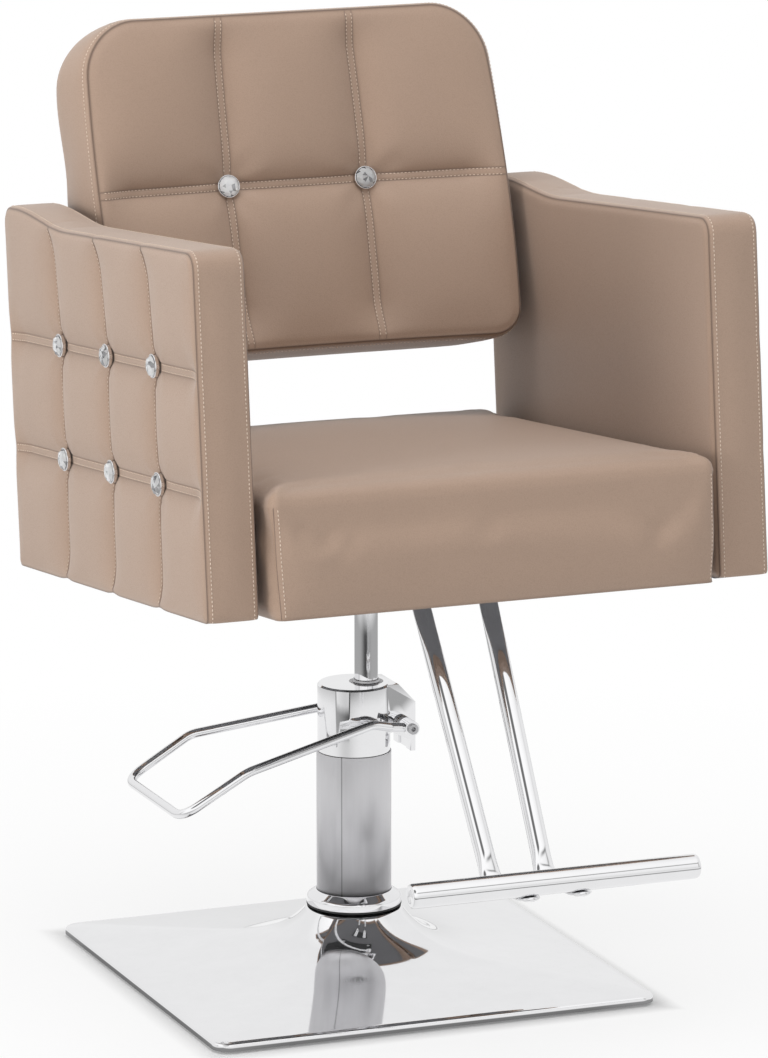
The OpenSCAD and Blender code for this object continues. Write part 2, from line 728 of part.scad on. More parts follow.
module arm_bolts() {
    color(steel) in_seat() both_sides() at_arm_bolts() {
        across(bolt_r, 165, core_out - 7, 32);
        across(bolt_head_r, core_out - 7.9, core_out - 2.5, 6);
    }
}

module arm_spacers() {
    color(steel) in_seat() both_sides() at_arm_bolts() difference() {
        across(8, board_half, arm_inner);
        across(bolt_hole, board_half - 1, arm_inner + 1);
    }
}

// Backrest

function back_lean(z) = (z - back_low) / (back_high - back_low);
function back_centre_y(z) = mix(back_low_y, back_high_y, back_lean(z));
function back_width(z) = back_half - 9 * pow((z - 392) / 180, 2);

module backrest_cushion() {
    xs = concat([-1, -0.982, -0.94], [for (k = [1:5]) mix(-0.94, -back_seam_x / back_half, k / 6)],
        [for (k = [0:5]) mix(-back_seam_x / back_half, back_seam_x / back_half, k / 6)],
        [for (k = [0:5]) mix(back_seam_x / back_half, 0.94, k / 6)], [0.94, 0.982, 1]);
    zs = concat([0, 0.012, 0.04], [for (k = [1:5]) mix(0.04, 0.487, k / 6)],
        [for (k = [0:5]) mix(0.487, 0.96, k / 6)], [0.96, 0.988, 1]);
    nu = len(xs) - 1;
    nv = len(zs) - 1;
    half_x = back_half;
    function outline(i, j, low, high) = let (z = mix(low, high, zs[j]),
        p = corner(xs[i] * half_x, z, -half_x, half_x, low, high, 28, 57))
        [p[0] * back_width(mix(back_low, back_high, (p[1] - low) / (high - low))) / half_x, p[1]];
    function inset(i, j) = min(half_x * (1 - abs(xs[i])), 355 * zs[j], 355 * (1 - zs[j]));
    seams_x = [-half_x - 40, -back_seam_x, back_seam_x, half_x + 40];
    function front(i, j) = let (p = outline(i, j, back_low, back_high), share = p[0] / half_x,
        swell = hump(xs[i] * half_x, seams_x) * hump(zs[j], [-0.12, 0.487, 1.12]),
        depth = mix(back_rim, 12 * swell - 3 * (1 - swell), smooth(inset(i, j) / 45)))
        [p[0], back_centre_y(p[1]) - back_wrap * (1 - back_lean(p[1])) * share * share - depth
            + edge_drop(inset(i, j), 5), p[1]];
    function rear(i, j) = let (p = outline(i, j, back_low - 16, back_high - 14))
        [p[0] * (1 + back_flare * smooth((p[1] - 400) / 110) / half_x), back_plane, p[1]];
    color(hide) in_seat() difference() {
        pillow([for (j = [0:nv]) [for (i = [0:nu]) front(i, j)]],
            [for (j = [0:nv]) [for (i = [0:nu]) rear(i, j)]], 2,
            [[-5, 0, 0], [5, 0, 0], [0, 0, -4], [0, 0, 4]]);
        box([-rail_out - 0.1, rail_front - 0.1, rail_low - 0.1], [rail_out + 0.1, back_plane + 1, rail_top + 0.1]);
        box([-rail_in, back_plane - 15.1, rail_top - 5], [rail_in, back_plane + 1, 530.1]);
        both_sides() at_back_bolts() across(10.2, rail_out - 5, 260, 16);
        at_back_buttons() cylinder(r = button_r + 0.2, h = 30, $fn = 20);
    }
}

module at_back_bolts() {
    for (z = back_bolt_rows) translate([0, back_bolt_y, z]) children();
}

module backrest_board() {
    color("burlywood") in_seat()
        box([-rail_in, back_plane - 15, rail_low], [rail_in, back_plane, 530]);
}

module backrest_rails() {
    color("burlywood") in_seat() both_sides() difference() {
        box([rail_in, rail_front, rail_low], [rail_out, back_plane, rail_top]);
        at_back_bolts() across(bolt_hole, 195, 230, 32);
    }
}

module backrest_rear_panel() {
    low = back_low - 10;
    high = back_high - 20;
    wide = [back_half + 2, back_half - 12];
    color(hide) in_seat() translate([0, back_rear, 0]) rotate([90, 0, 0]) hull() for (step = [0, 1]) {
        inset = 2 * step;
        translate([0, 0, 2 - 2 * step]) linear_extrude(step == 0 ? back_rear - back_plane - 2.05 : 1)
            for (x = [-1, 1]) {
                translate([x * (wide[0] - 45), high - 45]) circle(r = 45 - inset, $fn = 32);
                translate([x * (wide[1] - 24), low + 24]) circle(r = 24 - inset, $fn = 32);
            }
    }
}

module backrest_bolts() {
    color(steel) in_seat() both_sides() at_back_bolts() {
        across(bolt_r, 196, core_out - 7, 32);
        across(bolt_head_r, core_out - 7.9, core_out - 2.5, 6);
    }
}

module backrest_spacers() {
    color(steel) in_seat() both_sides() at_back_bolts() difference() {
        across(10, rail_out, arm_inner);
        across(bolt_hole, rail_out - 1, arm_inner + 1);
    }
}

// Crystal buttons: a chromed cup with a faceted stone, six on each arm and two on the backrest

module at_back_buttons() {
    for (x = [-back_seam_x, back_seam_x])
        translate([x, back_centre_y(back_seam) + 5, back_seam]) rotate([80, 0, 0]) children();
}

module at_buttons() {
    both_sides() for (y = button_cols) for (z = button_rows)
        translate([arm_inner + button_seat, y, z]) rotate([0, 90, 0]) children();
    at_back_buttons() children();
}

module button_rims() {
    color(chrome) in_seat() at_buttons() difference() {
        cylinder(r = button_r, h = 5, $fn = round_fn);
        translate([0, 0, 2]) cylinder(r = 11, h = 5, $fn = round_fn);
    }
}

module button_crystals() {
    color("white") in_seat() at_buttons() {
        translate([0, 0, 2]) cylinder(r = 10.9, h = 3, $fn = 12);
        translate([0, 0, 5]) cylinder(r1 = 10.9, r2 = 6, h = 3.2, $fn = 12);
    }
}

// Footrest

module footrest_plate() {
    low = board_low - cover_t - bracket_t;
    color("dimgray") in_seat() difference() {
        box([-60, -235, low], [60, -168, low + bracket_t]);
        at_plate_bolts() cylinder(r = bolt_hole, h = 30, $fn = 32);
    }
}

module footrest_plate_bolts() {
    color(steel) in_seat() at_plate_bolts() {
        translate([0, 0, -7.2]) cylinder(r = bolt_head_r, h = 5, $fn = 6);
        translate([0, 0, -2.2]) cylinder(r = bolt_r, h = board_low + 18, $fn = 32);
    }
}

module at_bar_screws() {
    for (x = [-foot_x, foot_x]) translate([x, bar_y, foot_z - foot_half_t + 0.2]) children();
}

// A leg is one chromed tube: squashed flat under the plate, round on its run, and squashed
// flat again where it turns forward under the bar.
module footrest_leg() {
    tab_z = board_low - cover_t - bracket_t - 3.1;
    a = [leg_tab_x, -172, tab_z];
    b = [leg_tab_x, leg_top_y, tab_z];
    c = leg_low;
    d = [foot_x, foot_end_y, foot_z];
    c_foot = [leg_low[0], leg_low[1] - 2, foot_z];
    top_bend = bend(a, b, c, 22, 5);
    foot_bend = bend(b, c_foot, d, 30, 6);
    run_dir = unit(c - b);
    stations = concat([[a, 12, 3]], [for (p = top_bend) [p, 12, 3]],
        [[b + run_dir * 20, 10.6, 3.6], [b + run_dir * 34, 10.2, 5], [b + run_dir * 52, 9.8, 8]],
        [[b + run_dir * 66, leg_r, leg_r]],
        [[mix(b, c_foot, 0.86), leg_r, leg_r], [mix(b, c_foot, 0.9), 10, 8]],
        [for (k = [0:6]) [foot_bend[k], mix(10.4, 13, k / 6), mix(6.5, foot_half_t, min(1, k / 3))]],
        [[d, 13, foot_half_t]]);
    difference() {
        sweep(stations, 20, [1, 0, 0]);
        at_plate_bolts() translate([0, 0, -20]) cylinder(r = bolt_hole, h = 40, $fn = 16);
        at_bar_screws() {
            translate([0, 0, -1]) cylinder(r = 7.6, h = 1, $fn = 24);
            cylinder(r1 = 7.6, r2 = 3.1, h = 3, $fn = 24);
            translate([0, 0, 2]) cylinder(r = 3.1, h = 12, $fn = 24);
        }
    }
}

module footrest_leg_left() {
    color(chrome) in_seat() footrest_leg();
}

module footrest_leg_right() {
    color(chrome) in_seat() mirror([1, 0, 0]) footrest_leg();
}

module footrest_bar() {
    color(chrome) in_seat() translate([0, bar_y, bar_z]) difference() {
        across(bar_r, -bar_half + 4, bar_half - 4);
        across(bar_r - 1.8, -bar_half, bar_half);
        for (x = [-foot_x, foot_x]) translate([x, 0, -20]) cylinder(r = 3.1, h = 20, $fn = 32);
    }
}

module footrest_end_caps() {
    color(chrome) in_seat() translate([0, bar_y, bar_z]) both_sides() {
        across(bar_r - 2, bar_half - 16, bar_half - 4);
        translate([bar_half - 4, 0, 0]) rotate([0, 90, 0])
            cylinder(r1 = bar_r, r2 = bar_r - 1.5, h = 4, $fn = round_fn);
    }
}

module footrest_bar_screws() {
    color(steel) in_seat() at_bar_screws() {
        cylinder(r1 = 7.5, r2 = 3, h = 3, $fn = 32);
        translate([0, 0, 2.9]) cylinder(r = 3, h = 12, $fn = 32);
    }
}

base_shell();
base_plate();
base_pads();
pump_flange();
flange_bolts();
collar_gasket();
column_collar();
column_sleeve();
oil_reservoir();
valve_block();
main_cylinder();
pump_head();
guide_bush();
wiper_seal();
shaft_bushes();
pump_plunger();
pedal_shaft();
pump_rocker();
pedal_bosses();
pedal_rod();
pedal_screws();
pedal_spring();
ram_head();
ram_seal();
thrust_washer();
ram_rod();
ram_nut();
seat_bracket();
hub_screw();
bracket_bolts();
seat_board();
underside_cover();
seat_cushion();
arm_cores();
arm_base_covers();
right_arm_pad();
left_arm_pad();
arm_bolts();
arm_spacers();
backrest_board();
backrest_rails();
backrest_cushion();
backrest_rear_panel();
backrest_bolts();
backrest_spacers();
button_rims();
button_crystals();
footrest_plate();
footrest_plate_bolts();
footrest_leg_right();
footrest_leg_left();
footrest_bar();
footrest_end_caps();
footrest_bar_screws();
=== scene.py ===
"""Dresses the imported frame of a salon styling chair: tufted leatherette, chrome and crystal buttons."""
import json
import math

import bmesh
import bpy
import numpy as np
from bpy.props import FloatProperty, FloatVectorProperty, PointerProperty
from bpy.types import Operator, Panel, PropertyGroup
from mathutils import Matrix, Vector


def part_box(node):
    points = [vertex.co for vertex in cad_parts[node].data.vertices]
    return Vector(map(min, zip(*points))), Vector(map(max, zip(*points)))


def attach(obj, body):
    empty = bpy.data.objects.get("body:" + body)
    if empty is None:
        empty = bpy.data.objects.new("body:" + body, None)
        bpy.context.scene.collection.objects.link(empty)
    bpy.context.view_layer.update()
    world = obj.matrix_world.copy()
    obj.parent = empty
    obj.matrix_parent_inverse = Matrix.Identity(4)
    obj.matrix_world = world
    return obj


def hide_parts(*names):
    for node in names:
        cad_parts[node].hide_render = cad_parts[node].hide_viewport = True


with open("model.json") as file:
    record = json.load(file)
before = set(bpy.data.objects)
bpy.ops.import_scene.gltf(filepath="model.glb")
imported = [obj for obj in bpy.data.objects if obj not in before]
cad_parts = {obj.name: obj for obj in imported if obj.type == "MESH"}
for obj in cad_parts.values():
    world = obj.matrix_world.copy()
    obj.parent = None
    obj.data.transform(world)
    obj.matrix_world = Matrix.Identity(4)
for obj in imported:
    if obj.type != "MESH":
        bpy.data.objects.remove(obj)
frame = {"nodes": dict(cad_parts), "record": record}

bl_info = {
    "name": "Salon styling chair",
    "version": (1, 0, 0),
    "blender": (4, 5, 0),
    "location": "3D View > Sidebar > Chair",
    "description": "Dresses the frame of an upholstered salon styling chair on a hydraulic column",
    "category": "Object",
}

BODY_BASE, BODY_PEDAL, BODY_SEAT = "base", "pedal", "seat"
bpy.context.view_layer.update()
MM = 0.001


def length(label, default, text):
    """A size in metres that the panel shows with its unit."""
    return FloatProperty(name=label, description=text, default=default, unit="LENGTH", precision=4)


def tint(label, default, text):
    """A linear colour that the panel shows as a swatch."""
    return FloatVectorProperty(name=label, description=text, default=default, size=3, subtype="COLOR",
                               min=0.0, max=1.0)


class SeatPlace(PropertyGroup):
    """Where the tilted seat stands on its ram, and the cushion's sizes."""
    ram_x: length("Ram", 0.014, "Ram axis from the column's centre, along X")
    height: length("Height", 0.438, "Seat's underside at the ram")
    tilt: FloatProperty(name="Tilt", description="Backward tilt of the seat", default=math.radians(6.1),
                        subtype="ANGLE")
    half_top: length("Half width, top", 0.2435, "Half width of the cushion's top")
    half_bottom: length("Half width, bottom", 0.236, "Half width of the cushion's underside")
    front: length("Front", -0.372, "Front of the cushion")
    back: length("Back", 0.226, "Back of the cushion")
    depth: length("Depth", 0.130, "Height of the cushion's edges")
    crown: length("Crown", 0.009, "Extra height in the middle of the top")


class ArmSizes(PropertyGroup):
    """Sizes of one arm pad, in the seat's frame."""
    inner: length("Inner face", 0.248, "Inner face from the ram")
    thick: length("Thickness", 0.0585, "Thickness of the pad")
    front: length("Front", -0.350, "Front of the pad")
    back: length("Back", 0.237, "Back of the pad")
    high: length("Height", 0.3705, "Height of the pad at its front")
    rise: length("Rise", 0.016, "Extra height at the back")
    tuft: length("Tuft", 0.0102, "Depth of the sewn lines below the panels")
    band: length("Band", 0.0045, "Half height of the sewn bands")


class BackSizes(PropertyGroup):
    """Sizes of the backrest, in the seat's frame."""
    half: length("Half width", 0.2335, "Half of the greatest width")
    low: length("Lower edge", 0.223, "Lower front edge")
    high: length("Upper edge", 0.578, "Upper front edge")
    low_y: length("Lower depth", 0.125, "Front surface at the lower edge")
    high_y: length("Upper depth", 0.189, "Front surface at the upper edge")
    wrap: length("Wrap", 0.032, "How far the lower sides come forward")
    plane: length("Rear plane", 0.231, "Where the cushion ends and the rear panel starts")
    flare: length("Flare", 0.012, "Extra half width of the rear edge above the arms")
    puff: length("Puff", 0.012, "How far the panels stand out")
    rim: length("Rim", 0.009, "How far the outline stands out")
    seam_x: length("Seam", 0.078, "Upright seams from the middle")
    band: length("Band", 0.004, "Half width of the sewn bands")
    seam_z: length("Cross seam", 0.396, "Height of the cross seam")


class MetalSizes(PropertyGroup):
    """Sizes of the base, column, pedal and footrest."""
    base_side: length("Base", 0.490, "Side of the square base")
    base_corner: length("Base corner", 0.018, "Corner radius of the base")
    lip_top: length("Lip", 0.011, "Top of the base's lip")
    lip_low: length("Lip foot", 0.003, "Lower edge of the lip")
    neck_top: length("Neck", 0.0735, "Top of the neck")
    neck_r: length("Neck radius", 0.049, "Radius of the neck")
    sleeve_r: length("Sleeve radius", 0.0396, "Radius of the satin sleeve")
    sleeve_top: length("Sleeve top", 0.241, "Top of the sleeve")
    ram_r: length("Ram radius", 0.0123, "Radius of the ram's rod")
    shaft_x: length("Shaft", 0.046, "Pedal shaft along X")
    shaft_z: length("Shaft height", 0.271, "Pedal shaft's height")
    pedal_r: length("Pedal rod", 0.005, "Radius of the pedal's rod")
    reach: length("Pedal reach", 0.224, "End of the pedal's loop")
    bar_half: length("Footrest bar", 0.154, "Half length of the footrest bar")
    bar_r: length("Bar radius", 0.0125, "Radius of the footrest bar")
    leg_r: length("Leg radius", 0.0095, "Radius of the footrest legs")
    button_r: length("Button", 0.0125, "Radius of a crystal button's cup")


class Finish(PropertyGroup):
    """Colours and scales of the finishes."""
    leather: tint("Leatherette", (0.365, 0.256, 0.190), "Colour of the taupe leatherette")
    # Painted shade: the dark colour that the leatherette is mixed toward down in its seams, along its rims
    # and under the seat; the grain's pores take a little of it too
    seam: tint("Seam", (0.085, 0.052, 0.036), "Colour down in the seams")
    thread: tint("Thread", (0.72, 0.59, 0.48), "Colour of the sewing thread")
    chrome: tint("Chrome", (0.86, 0.86, 0.87), "Colour of the chromed pieces")
    satin: tint("Satin", (0.66, 0.655, 0.67), "Colour of the brushed sleeve")
    grain: length("Grain", 0.0011, "Size of the leatherette's grain")
    stitch: length("Stitch", 0.0042, "Pitch of the stitches")
    pressure: FloatProperty(name="Pressure", description="Cloth pressure that fills the pads", default=4.0)


class StageSizes(PropertyGroup):
    """Camera and light."""
    azimuth: FloatProperty(name="Azimuth", description="Camera's angle around the chair",
                           default=math.radians(-21.642), subtype="ANGLE")
    elevation: FloatProperty(name="Elevation", description="Camera's angle above the horizon",
                             default=math.radians(12.488), subtype="ANGLE")
    distance: length("Distance", 7.1155, "Camera from its target")
    target: FloatVectorProperty(name="Target", description="Point at the picture's centre",
                                default=(0.07031, 0.09085, 0.45459), size=3, subtype="XYZ")
    lens: FloatProperty(name="Lens", description="Focal length in millimetres on a 36 mm sensor",
                        default=227.34)
    floor: length("Floor", 14.0, "Side of the floor")


GROUPS = {"chair_seat": SeatPlace, "chair_arm": ArmSizes, "chair_back": BackSizes,
          "chair_metal": MetalSizes, "chair_finish": Finish, "chair_stage": StageSizes}
# Buttons of an arm, along it and above its foot
BUTTON_COLUMNS = (-0.208, -0.065, 0.082)
BUTTON_ROWS = (0.1287, 0.248)
# Half length, width and height of a stitch, on a strip and down in a seam, and how far it stands out
STITCH_SIZE = (1.2 * MM, 0.52 * MM, 0.42 * MM)
SUNK_STITCH_SIZE = (1.1 * MM, 0.30 * MM, 0.24 * MM)
STITCH_LIFT = 0.12 * MM
# The most of a side that one rounded corner takes
MOST_OF_SIDE = 0.49
# Radius where a solid profile starts, so that no point lies on the axis
AXIS = 0.0002
# Points nearer than this are one, faces within the flat angle are one, edges past the sharp one are rounded
SAME_POINT = 2e-6
FLAT_ANGLE, SHARP_ANGLE = math.radians(1.0), math.radians(32)
# The sleeve's joint line, round from +X
JOINT_ANGLE = -2.274
# How the cloth solver fills a cover
FILL_FRAMES = 20
CLOTH_VALUES = {"quality": 6, "mass": 0.25, "air_damping": 4.0, "tension_stiffness": 18,
                "compression_stiffness": 18, "shear_stiffness": 8, "bending_stiffness": 1.5,
                "shrink_min": 0.0, "shrink_max": 0.0, "use_pressure": True}


# The panel's groups, as the scene holds them

def seat_place():
    """Where the tilted seat stands."""
    return bpy.context.scene.chair_seat


def arm_sizes():
    """Sizes of an arm."""
    return bpy.context.scene.chair_arm


def back_sizes():
    """Sizes of the backrest."""
    return bpy.context.scene.chair_back


def metal():
    """Sizes of the metal pieces."""
    return bpy.context.scene.chair_metal


def finish_values():
    """Colours and scales."""
    return bpy.context.scene.chair_finish


# Arrays and curves

def ramp(t):
    """3 t^2 - 2 t^3 with t held between 0 and 1."""
    t = np.clip(t, 0.0, 1.0)
    return t * t * (3.0 - 2.0 * t)


def unit(v):
    """Vectors over their length."""
    return v / np.maximum(np.linalg.norm(v, axis=-1, keepdims=True), 1e-12)


def circle(count):
    """Even angles once round, from 0."""
    return np.linspace(0, 2 * math.pi, count, endpoint=False)


def arc_length(points):
    """Distance along a line of points, 0 at the first."""
    return np.concatenate([[0.0], np.cumsum(np.linalg.norm(np.diff(points, axis=0), axis=1))])


def at_places(places, run, rows):
    """Rows of three numbers at distances run, brought to other places straight between them."""
    return np.stack([np.interp(places, run, rows[:, k]) for k in range(3)], axis=1)


def seated(points):
    """Tilted seat frame to row frame: turn about X by minus the tilt, then move to the ram's top."""
    place = seat_place()
    c, s = math.cos(place.tilt), math.sin(place.tilt)
    x, y, z = points[..., 0], points[..., 1], points[..., 2]
    return np.stack([x + place.ram_x, c * y + s * z, c * z - s * y + place.height], axis=-1)


def knots(lines, fine, coarse, reach):
    """Places from the first line to the last, packed near each line.

    The step is fine + (coarse - fine) ramp(gap / reach), where gap is the distance to the nearest line."""
    parts = []
    for low, high in zip(lines[:-1], lines[1:]):
        x = np.linspace(low, high, 2001)
        rate = 1.0 / (fine + (coarse - fine) * ramp(np.minimum(x - low, high - x) / reach))
        total = np.concatenate([[0.0], np.cumsum((rate[1:] + rate[:-1]) / 2 * np.diff(x))])
        count = max(2, int(round(total[-1])))
        parts.append(np.interp(np.linspace(0.0, total[-1], count + 1)[:-1], total, x))
    return np.concatenate(parts + [[lines[-1]]])


def rounded(p, q, low, high, radii):
    """Pulls a rectangle's corners onto arcs.

    A point at (a, b) from its corner's arc centre goes to the same direction at distance max(|a|, |b|)."""
    r = np.where(q < (low[1] + high[1]) / 2, radii[0], radii[1])
    cp, cq = np.clip(p, low[0] + r, high[0] - r), np.clip(q, low[1] + r, high[1] - r)
    a, b = p - cp, q - cq
    d = np.hypot(a, b)
    k = np.where(d > 1e-9, np.maximum(np.abs(a), np.abs(b)) / np.maximum(d, 1e-9), 1.0)
    return cp + a * k, cq + b * k


def spline_matrix(old, new):
    """Matrix that carries values at old places to new places along a natural cubic spline.

    Second derivatives M solve h0 M0 + 2 (h0 + h1) M1 + h1 M2 = 6 (slope1 - slope0)."""
    n = len(old)
    h = np.diff(old)
    left, right = np.eye(n), np.zeros((n, n))
    i = np.arange(1, n - 1)
    left[i, i - 1], left[i, i], left[i, i + 1] = h[i - 1], 2 * (h[i - 1] + h[i]), h[i]
    right[i, i - 1], right[i, i + 1] = 6 / h[i - 1], 6 / h[i]
    right[i, i] = -6 / h[i - 1] - 6 / h[i]
    bend = np.linalg.solve(left, right)
    k = np.clip(np.searchsorted(old, new, side="right") - 1, 0, n - 2)
    b = ((new - old[k]) / h[k])[:, None]
    a = 1 - b
    step = (h[k] ** 2 / 6)[:, None]
    cubic = step * ((a ** 3 - a) * bend[k] + (b ** 3 - b) * bend[k + 1])
    return a * np.eye(n)[k] + b * np.eye(n)[k + 1] + cubic


def rim(rows, columns):
    """Row and column numbers once round a grid's border, side by side."""
    i, j = np.arange(columns - 1), np.arange(rows - 1)
    return (np.concatenate([np.zeros_like(i), j, np.full_like(i, rows - 1), rows - 1 - j]),
            np.concatenate([i, np.full_like(j, columns - 1), columns - 1 - i, np.zeros_like(j)]))


def grid_quads(rows, columns, first=0):
    """Four corners of each cell of a grid of vertices stored row by row."""
    a = (np.arange(rows - 1)[:, None] * columns + np.arange(columns - 1)).ravel() + first
    return np.stack([a, a + 1, a + columns + 1, a + columns], axis=1)


def ring_quads(rings):
    """Four corners of each cell between rows of vertex numbers that close on themselves."""
    a, b = rings[:-1], rings[1:]
    return np.stack([a, np.roll(a, -1, axis=1), np.roll(b, -1, axis=1), b], axis=-1).reshape(-1, 4)


def wrapped_quads(rows, columns):
    """Cells of a grid that closes on itself both ways."""
    ring = np.arange(rows * columns).reshape(rows, columns)
    return ring_quads(np.concatenate([ring, ring[:1]]))


class Skin:
    """A closed skin: a front grid, a back grid of the same shape, and a band that joins their borders.

    Band point = front border + t (back border - front border) + share bulge(t) outward.
    share(row, column) is 1 unless a side lies flat."""

    def __init__(self, us, vs, front, back, ts=(), bulge=None, share=None):
        self.us, self.vs, self.ts = us, vs, np.asarray(ts, float)
        self.front, self.back = front, back
        self.rows, self.columns = len(vs), len(us)
        self.loop = rim(self.rows, self.columns)
        a, b = front[self.loop], back[self.loop]
        middle = (a + b) / 2
        along = np.roll(middle, -1, axis=0) - np.roll(middle, 1, axis=0)
        self.outward = unit(np.cross(along, b - a))
        if np.sum(self.outward * (middle - middle.mean(axis=0))) < 0:
            self.outward = -self.outward
        t = self.ts[:, None, None]
        self.band = a + t * (b - a)
        if bulge is not None:
            height = bulge(self.ts, np.linalg.norm(b - a, axis=-1))
            if share is not None:
                height = height * share(*self.loop)
            self.band = self.band + height[..., None] * self.outward

    def vertices(self):
        """All points: the front, the back, then the band row by row."""
        return np.concatenate([g.reshape(-1, 3) for g in (self.front, self.back, self.band)])

    def quads(self):
        """Faces of both grids and the band, pointing outwards."""
        count = self.rows * self.columns
        edge = self.loop[0] * self.columns + self.loop[1]
        between = 2 * count + np.arange(len(self.ts) * len(edge)).reshape(-1, len(edge))
        band = ring_quads(np.concatenate([[edge], between, [edge + count]]))
        faces = np.concatenate([grid_quads(self.rows, self.columns),
                                grid_quads(self.rows, self.columns, count)[:, ::-1], band[:, ::-1]])
        p = self.vertices()[faces]
        volume = np.sum(np.cross(p[:, 0], p[:, 1]) * p[:, 2]) + np.sum(np.cross(p[:, 0], p[:, 2]) * p[:, 3])
        return faces if volume > 0 else faces[:, ::-1]

    def moved(self, shift):
        """Moves each point by its own shift, in the order of vertices()."""
        count = self.rows * self.columns
        self.front = self.front + shift[:count].reshape(self.front.shape)
        self.back = self.back + shift[count:2 * count].reshape(self.back.shape)
        self.band = self.band + shift[2 * count:].reshape(self.band.shape)

    def carried(self, shift, fine):
        """A coarse skin's shift brought to a finer skin of the same lines, by splines along u, v and t."""
        count = self.rows * self.columns
        wu, wv = spline_matrix(self.us, fine.us), spline_matrix(self.vs, fine.vs)
        front, back = (part.reshape(self.front.shape) for part in (shift[:count], shift[count:2 * count]))
        grids = [np.einsum("ij,jkc,lk->ilc", wv, part, wu) for part in (front, back)]
        between = shift[2 * count:].reshape(-1, len(self.loop[0]), 3)
        band = np.concatenate([[front[self.loop]], between, [back[self.loop]]])
        wt = spline_matrix(np.concatenate([[0.0], self.ts, [1.0]]), fine.ts)
        band = np.einsum("ij,jkc->ikc", wt, band)
        band = np.concatenate([band, band[:, :1]], axis=1)
        sides, start = [], 0
        for weights in (wu, wv, wu[::-1, ::-1], wv[::-1, ::-1]):
            stop = start + weights.shape[1]
            sides.append(np.einsum("ij,kjc->kic", weights, band[:, start:stop])[:, :-1])
            start = stop - 1
        return np.concatenate([part.reshape(-1, 3) for part in (*grids, np.concatenate(sides, axis=1))])


def along_line(skin, u, v):
    """Points and normals of a skin's front at the places (u, v), straight between its knots."""
    us, vs, grid, step = skin.us, skin.vs, skin.front, 0.5 * MM

    def cell(lines, places):
        """The knot before each place, and the share of its cell that the place has passed."""
        k = np.clip(np.searchsorted(lines, places, side="right") - 1, 0, len(lines) - 2)
        return k, ((places - lines[k]) / (lines[k + 1] - lines[k]))[:, None]

    def at(u, v):
        """Bilinear: each corner of the cell times the share of the opposite corner."""
        (i, s), (j, t) = cell(us, u), cell(vs, v)
        return ((1 - s) * (1 - t) * grid[j, i] + s * (1 - t) * grid[j, i + 1]
                + (1 - s) * t * grid[j + 1, i] + s * t * grid[j + 1, i + 1])

    du = at(np.clip(u + step, us[0], us[-1]), v) - at(np.clip(u - step, us[0], us[-1]), v)
    dv = at(u, np.clip(v + step, vs[0], vs[-1])) - at(u, np.clip(v - step, vs[0], vs[-1]))
    return at(u, v), unit(np.cross(du, dv))


# Meshes

def make_object(name, vertices, faces, smooth=True, attribute=None):
    """An object at the origin whose mesh holds its place.

    attribute is a name and one value for each vertex or each face."""
    mesh = bpy.data.meshes.new(name)
    mesh.from_pydata(vertices.tolist(), [], faces if isinstance(faces, list) else faces.tolist())
    mesh.update()
    mesh.polygons.foreach_set("use_smooth", np.full(len(mesh.polygons), smooth))
    if attribute is not None:
        domain = "POINT" if len(attribute[1]) == len(mesh.vertices) else "FACE"
        layer = mesh.attributes.new(attribute[0], "FLOAT", domain)
        layer.data.foreach_set("value", np.asarray(attribute[1], np.float32))
    obj = bpy.data.objects.new(name, mesh)
    bpy.context.scene.collection.objects.link(obj)
    return obj


def wear(obj, material, body, slot, *nodes):
    """Gives a piece its finish and body, and hides the frame nodes that it stands for; slot is not used."""
    obj.data.materials.clear()
    obj.data.materials.append(material)
    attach(obj, body)
    if nodes:
        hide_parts(*nodes)


def lathe(profile, sides=128, centre=(0.0, 0.0)):
    """A closed profile of (radius, height) turned once about a vertical axis, as vertices and faces."""
    angle = circle(sides)
    r, z = np.split(np.asarray(profile, float), 2, axis=1)
    x, y = centre[0] + r * np.cos(angle), centre[1] + r * np.sin(angle)
    points = np.stack([x, y, np.broadcast_to(z, x.shape)], axis=-1)
    return points.reshape(-1, 3), wrapped_quads(*x.shape)


def arc(a, corner, b, count):
    """A rounded corner between a and b: (1-t)^2 a + 2 t (1-t) corner + t^2 b."""
    t = np.linspace(0, 1, count)[:, None]
    return (1 - t) ** 2 * a + 2 * t * (1 - t) * corner + t ** 2 * b


def closed_profile(*corners, step=6):
    """A closed profile from corners (radius, height, fillet), each fillet an arc of step points."""
    corners = [np.array(c, float) for c in corners]
    points = []
    for before, corner, after in zip(corners[-1:] + corners[:-1], corners, corners[1:] + corners[:1]):
        c, fillet = corner[:2], corner[2]
        if fillet <= 0:
            points.append(c[None])
            continue
        sides = before[:2] - c, after[:2] - c
        a, b = (c + side * min(MOST_OF_SIDE, fillet / np.linalg.norm(side)) for side in sides)
        points.append(arc(a, c, b, step))
    return np.concatenate(points)


def placed_at(shape, point, direction):
    """A shape made about +Z, stood at a point with +Z along a direction."""
    points, faces = shape
    spin = Vector((0, 0, 1)).rotation_difference(Vector(direction)).to_matrix()
    return points @ np.array(spin).T + np.asarray(point, float), faces


def bent_path(corners, radii, step):
    """A path through corners with rounded bends, as points at even steps and their distances along it.

    A bend is an arc between points radius / tan(half angle) from its corner."""
    corners = np.asarray(corners, float)
    points = [corners[:1]]
    for a, b, c, r in zip(corners[:-2], corners[1:-1], corners[2:], radii):
        u, v = unit(a - b), unit(c - b)
        half = math.acos(float(np.clip(u @ v, -1, 1))) / 2
        shorter = min(np.linalg.norm(a - b), np.linalg.norm(c - b))
        cut = min(r / math.tan(half), MOST_OF_SIDE * shorter)
        points.append(arc(b + u * cut, b, b + v * cut, 25))
    points = np.concatenate(points + [corners[-1:]])
    run = arc_length(points)
    places = np.linspace(0, run[-1], max(3, int(run[-1] / step)))
    return at_places(places, run, points), places


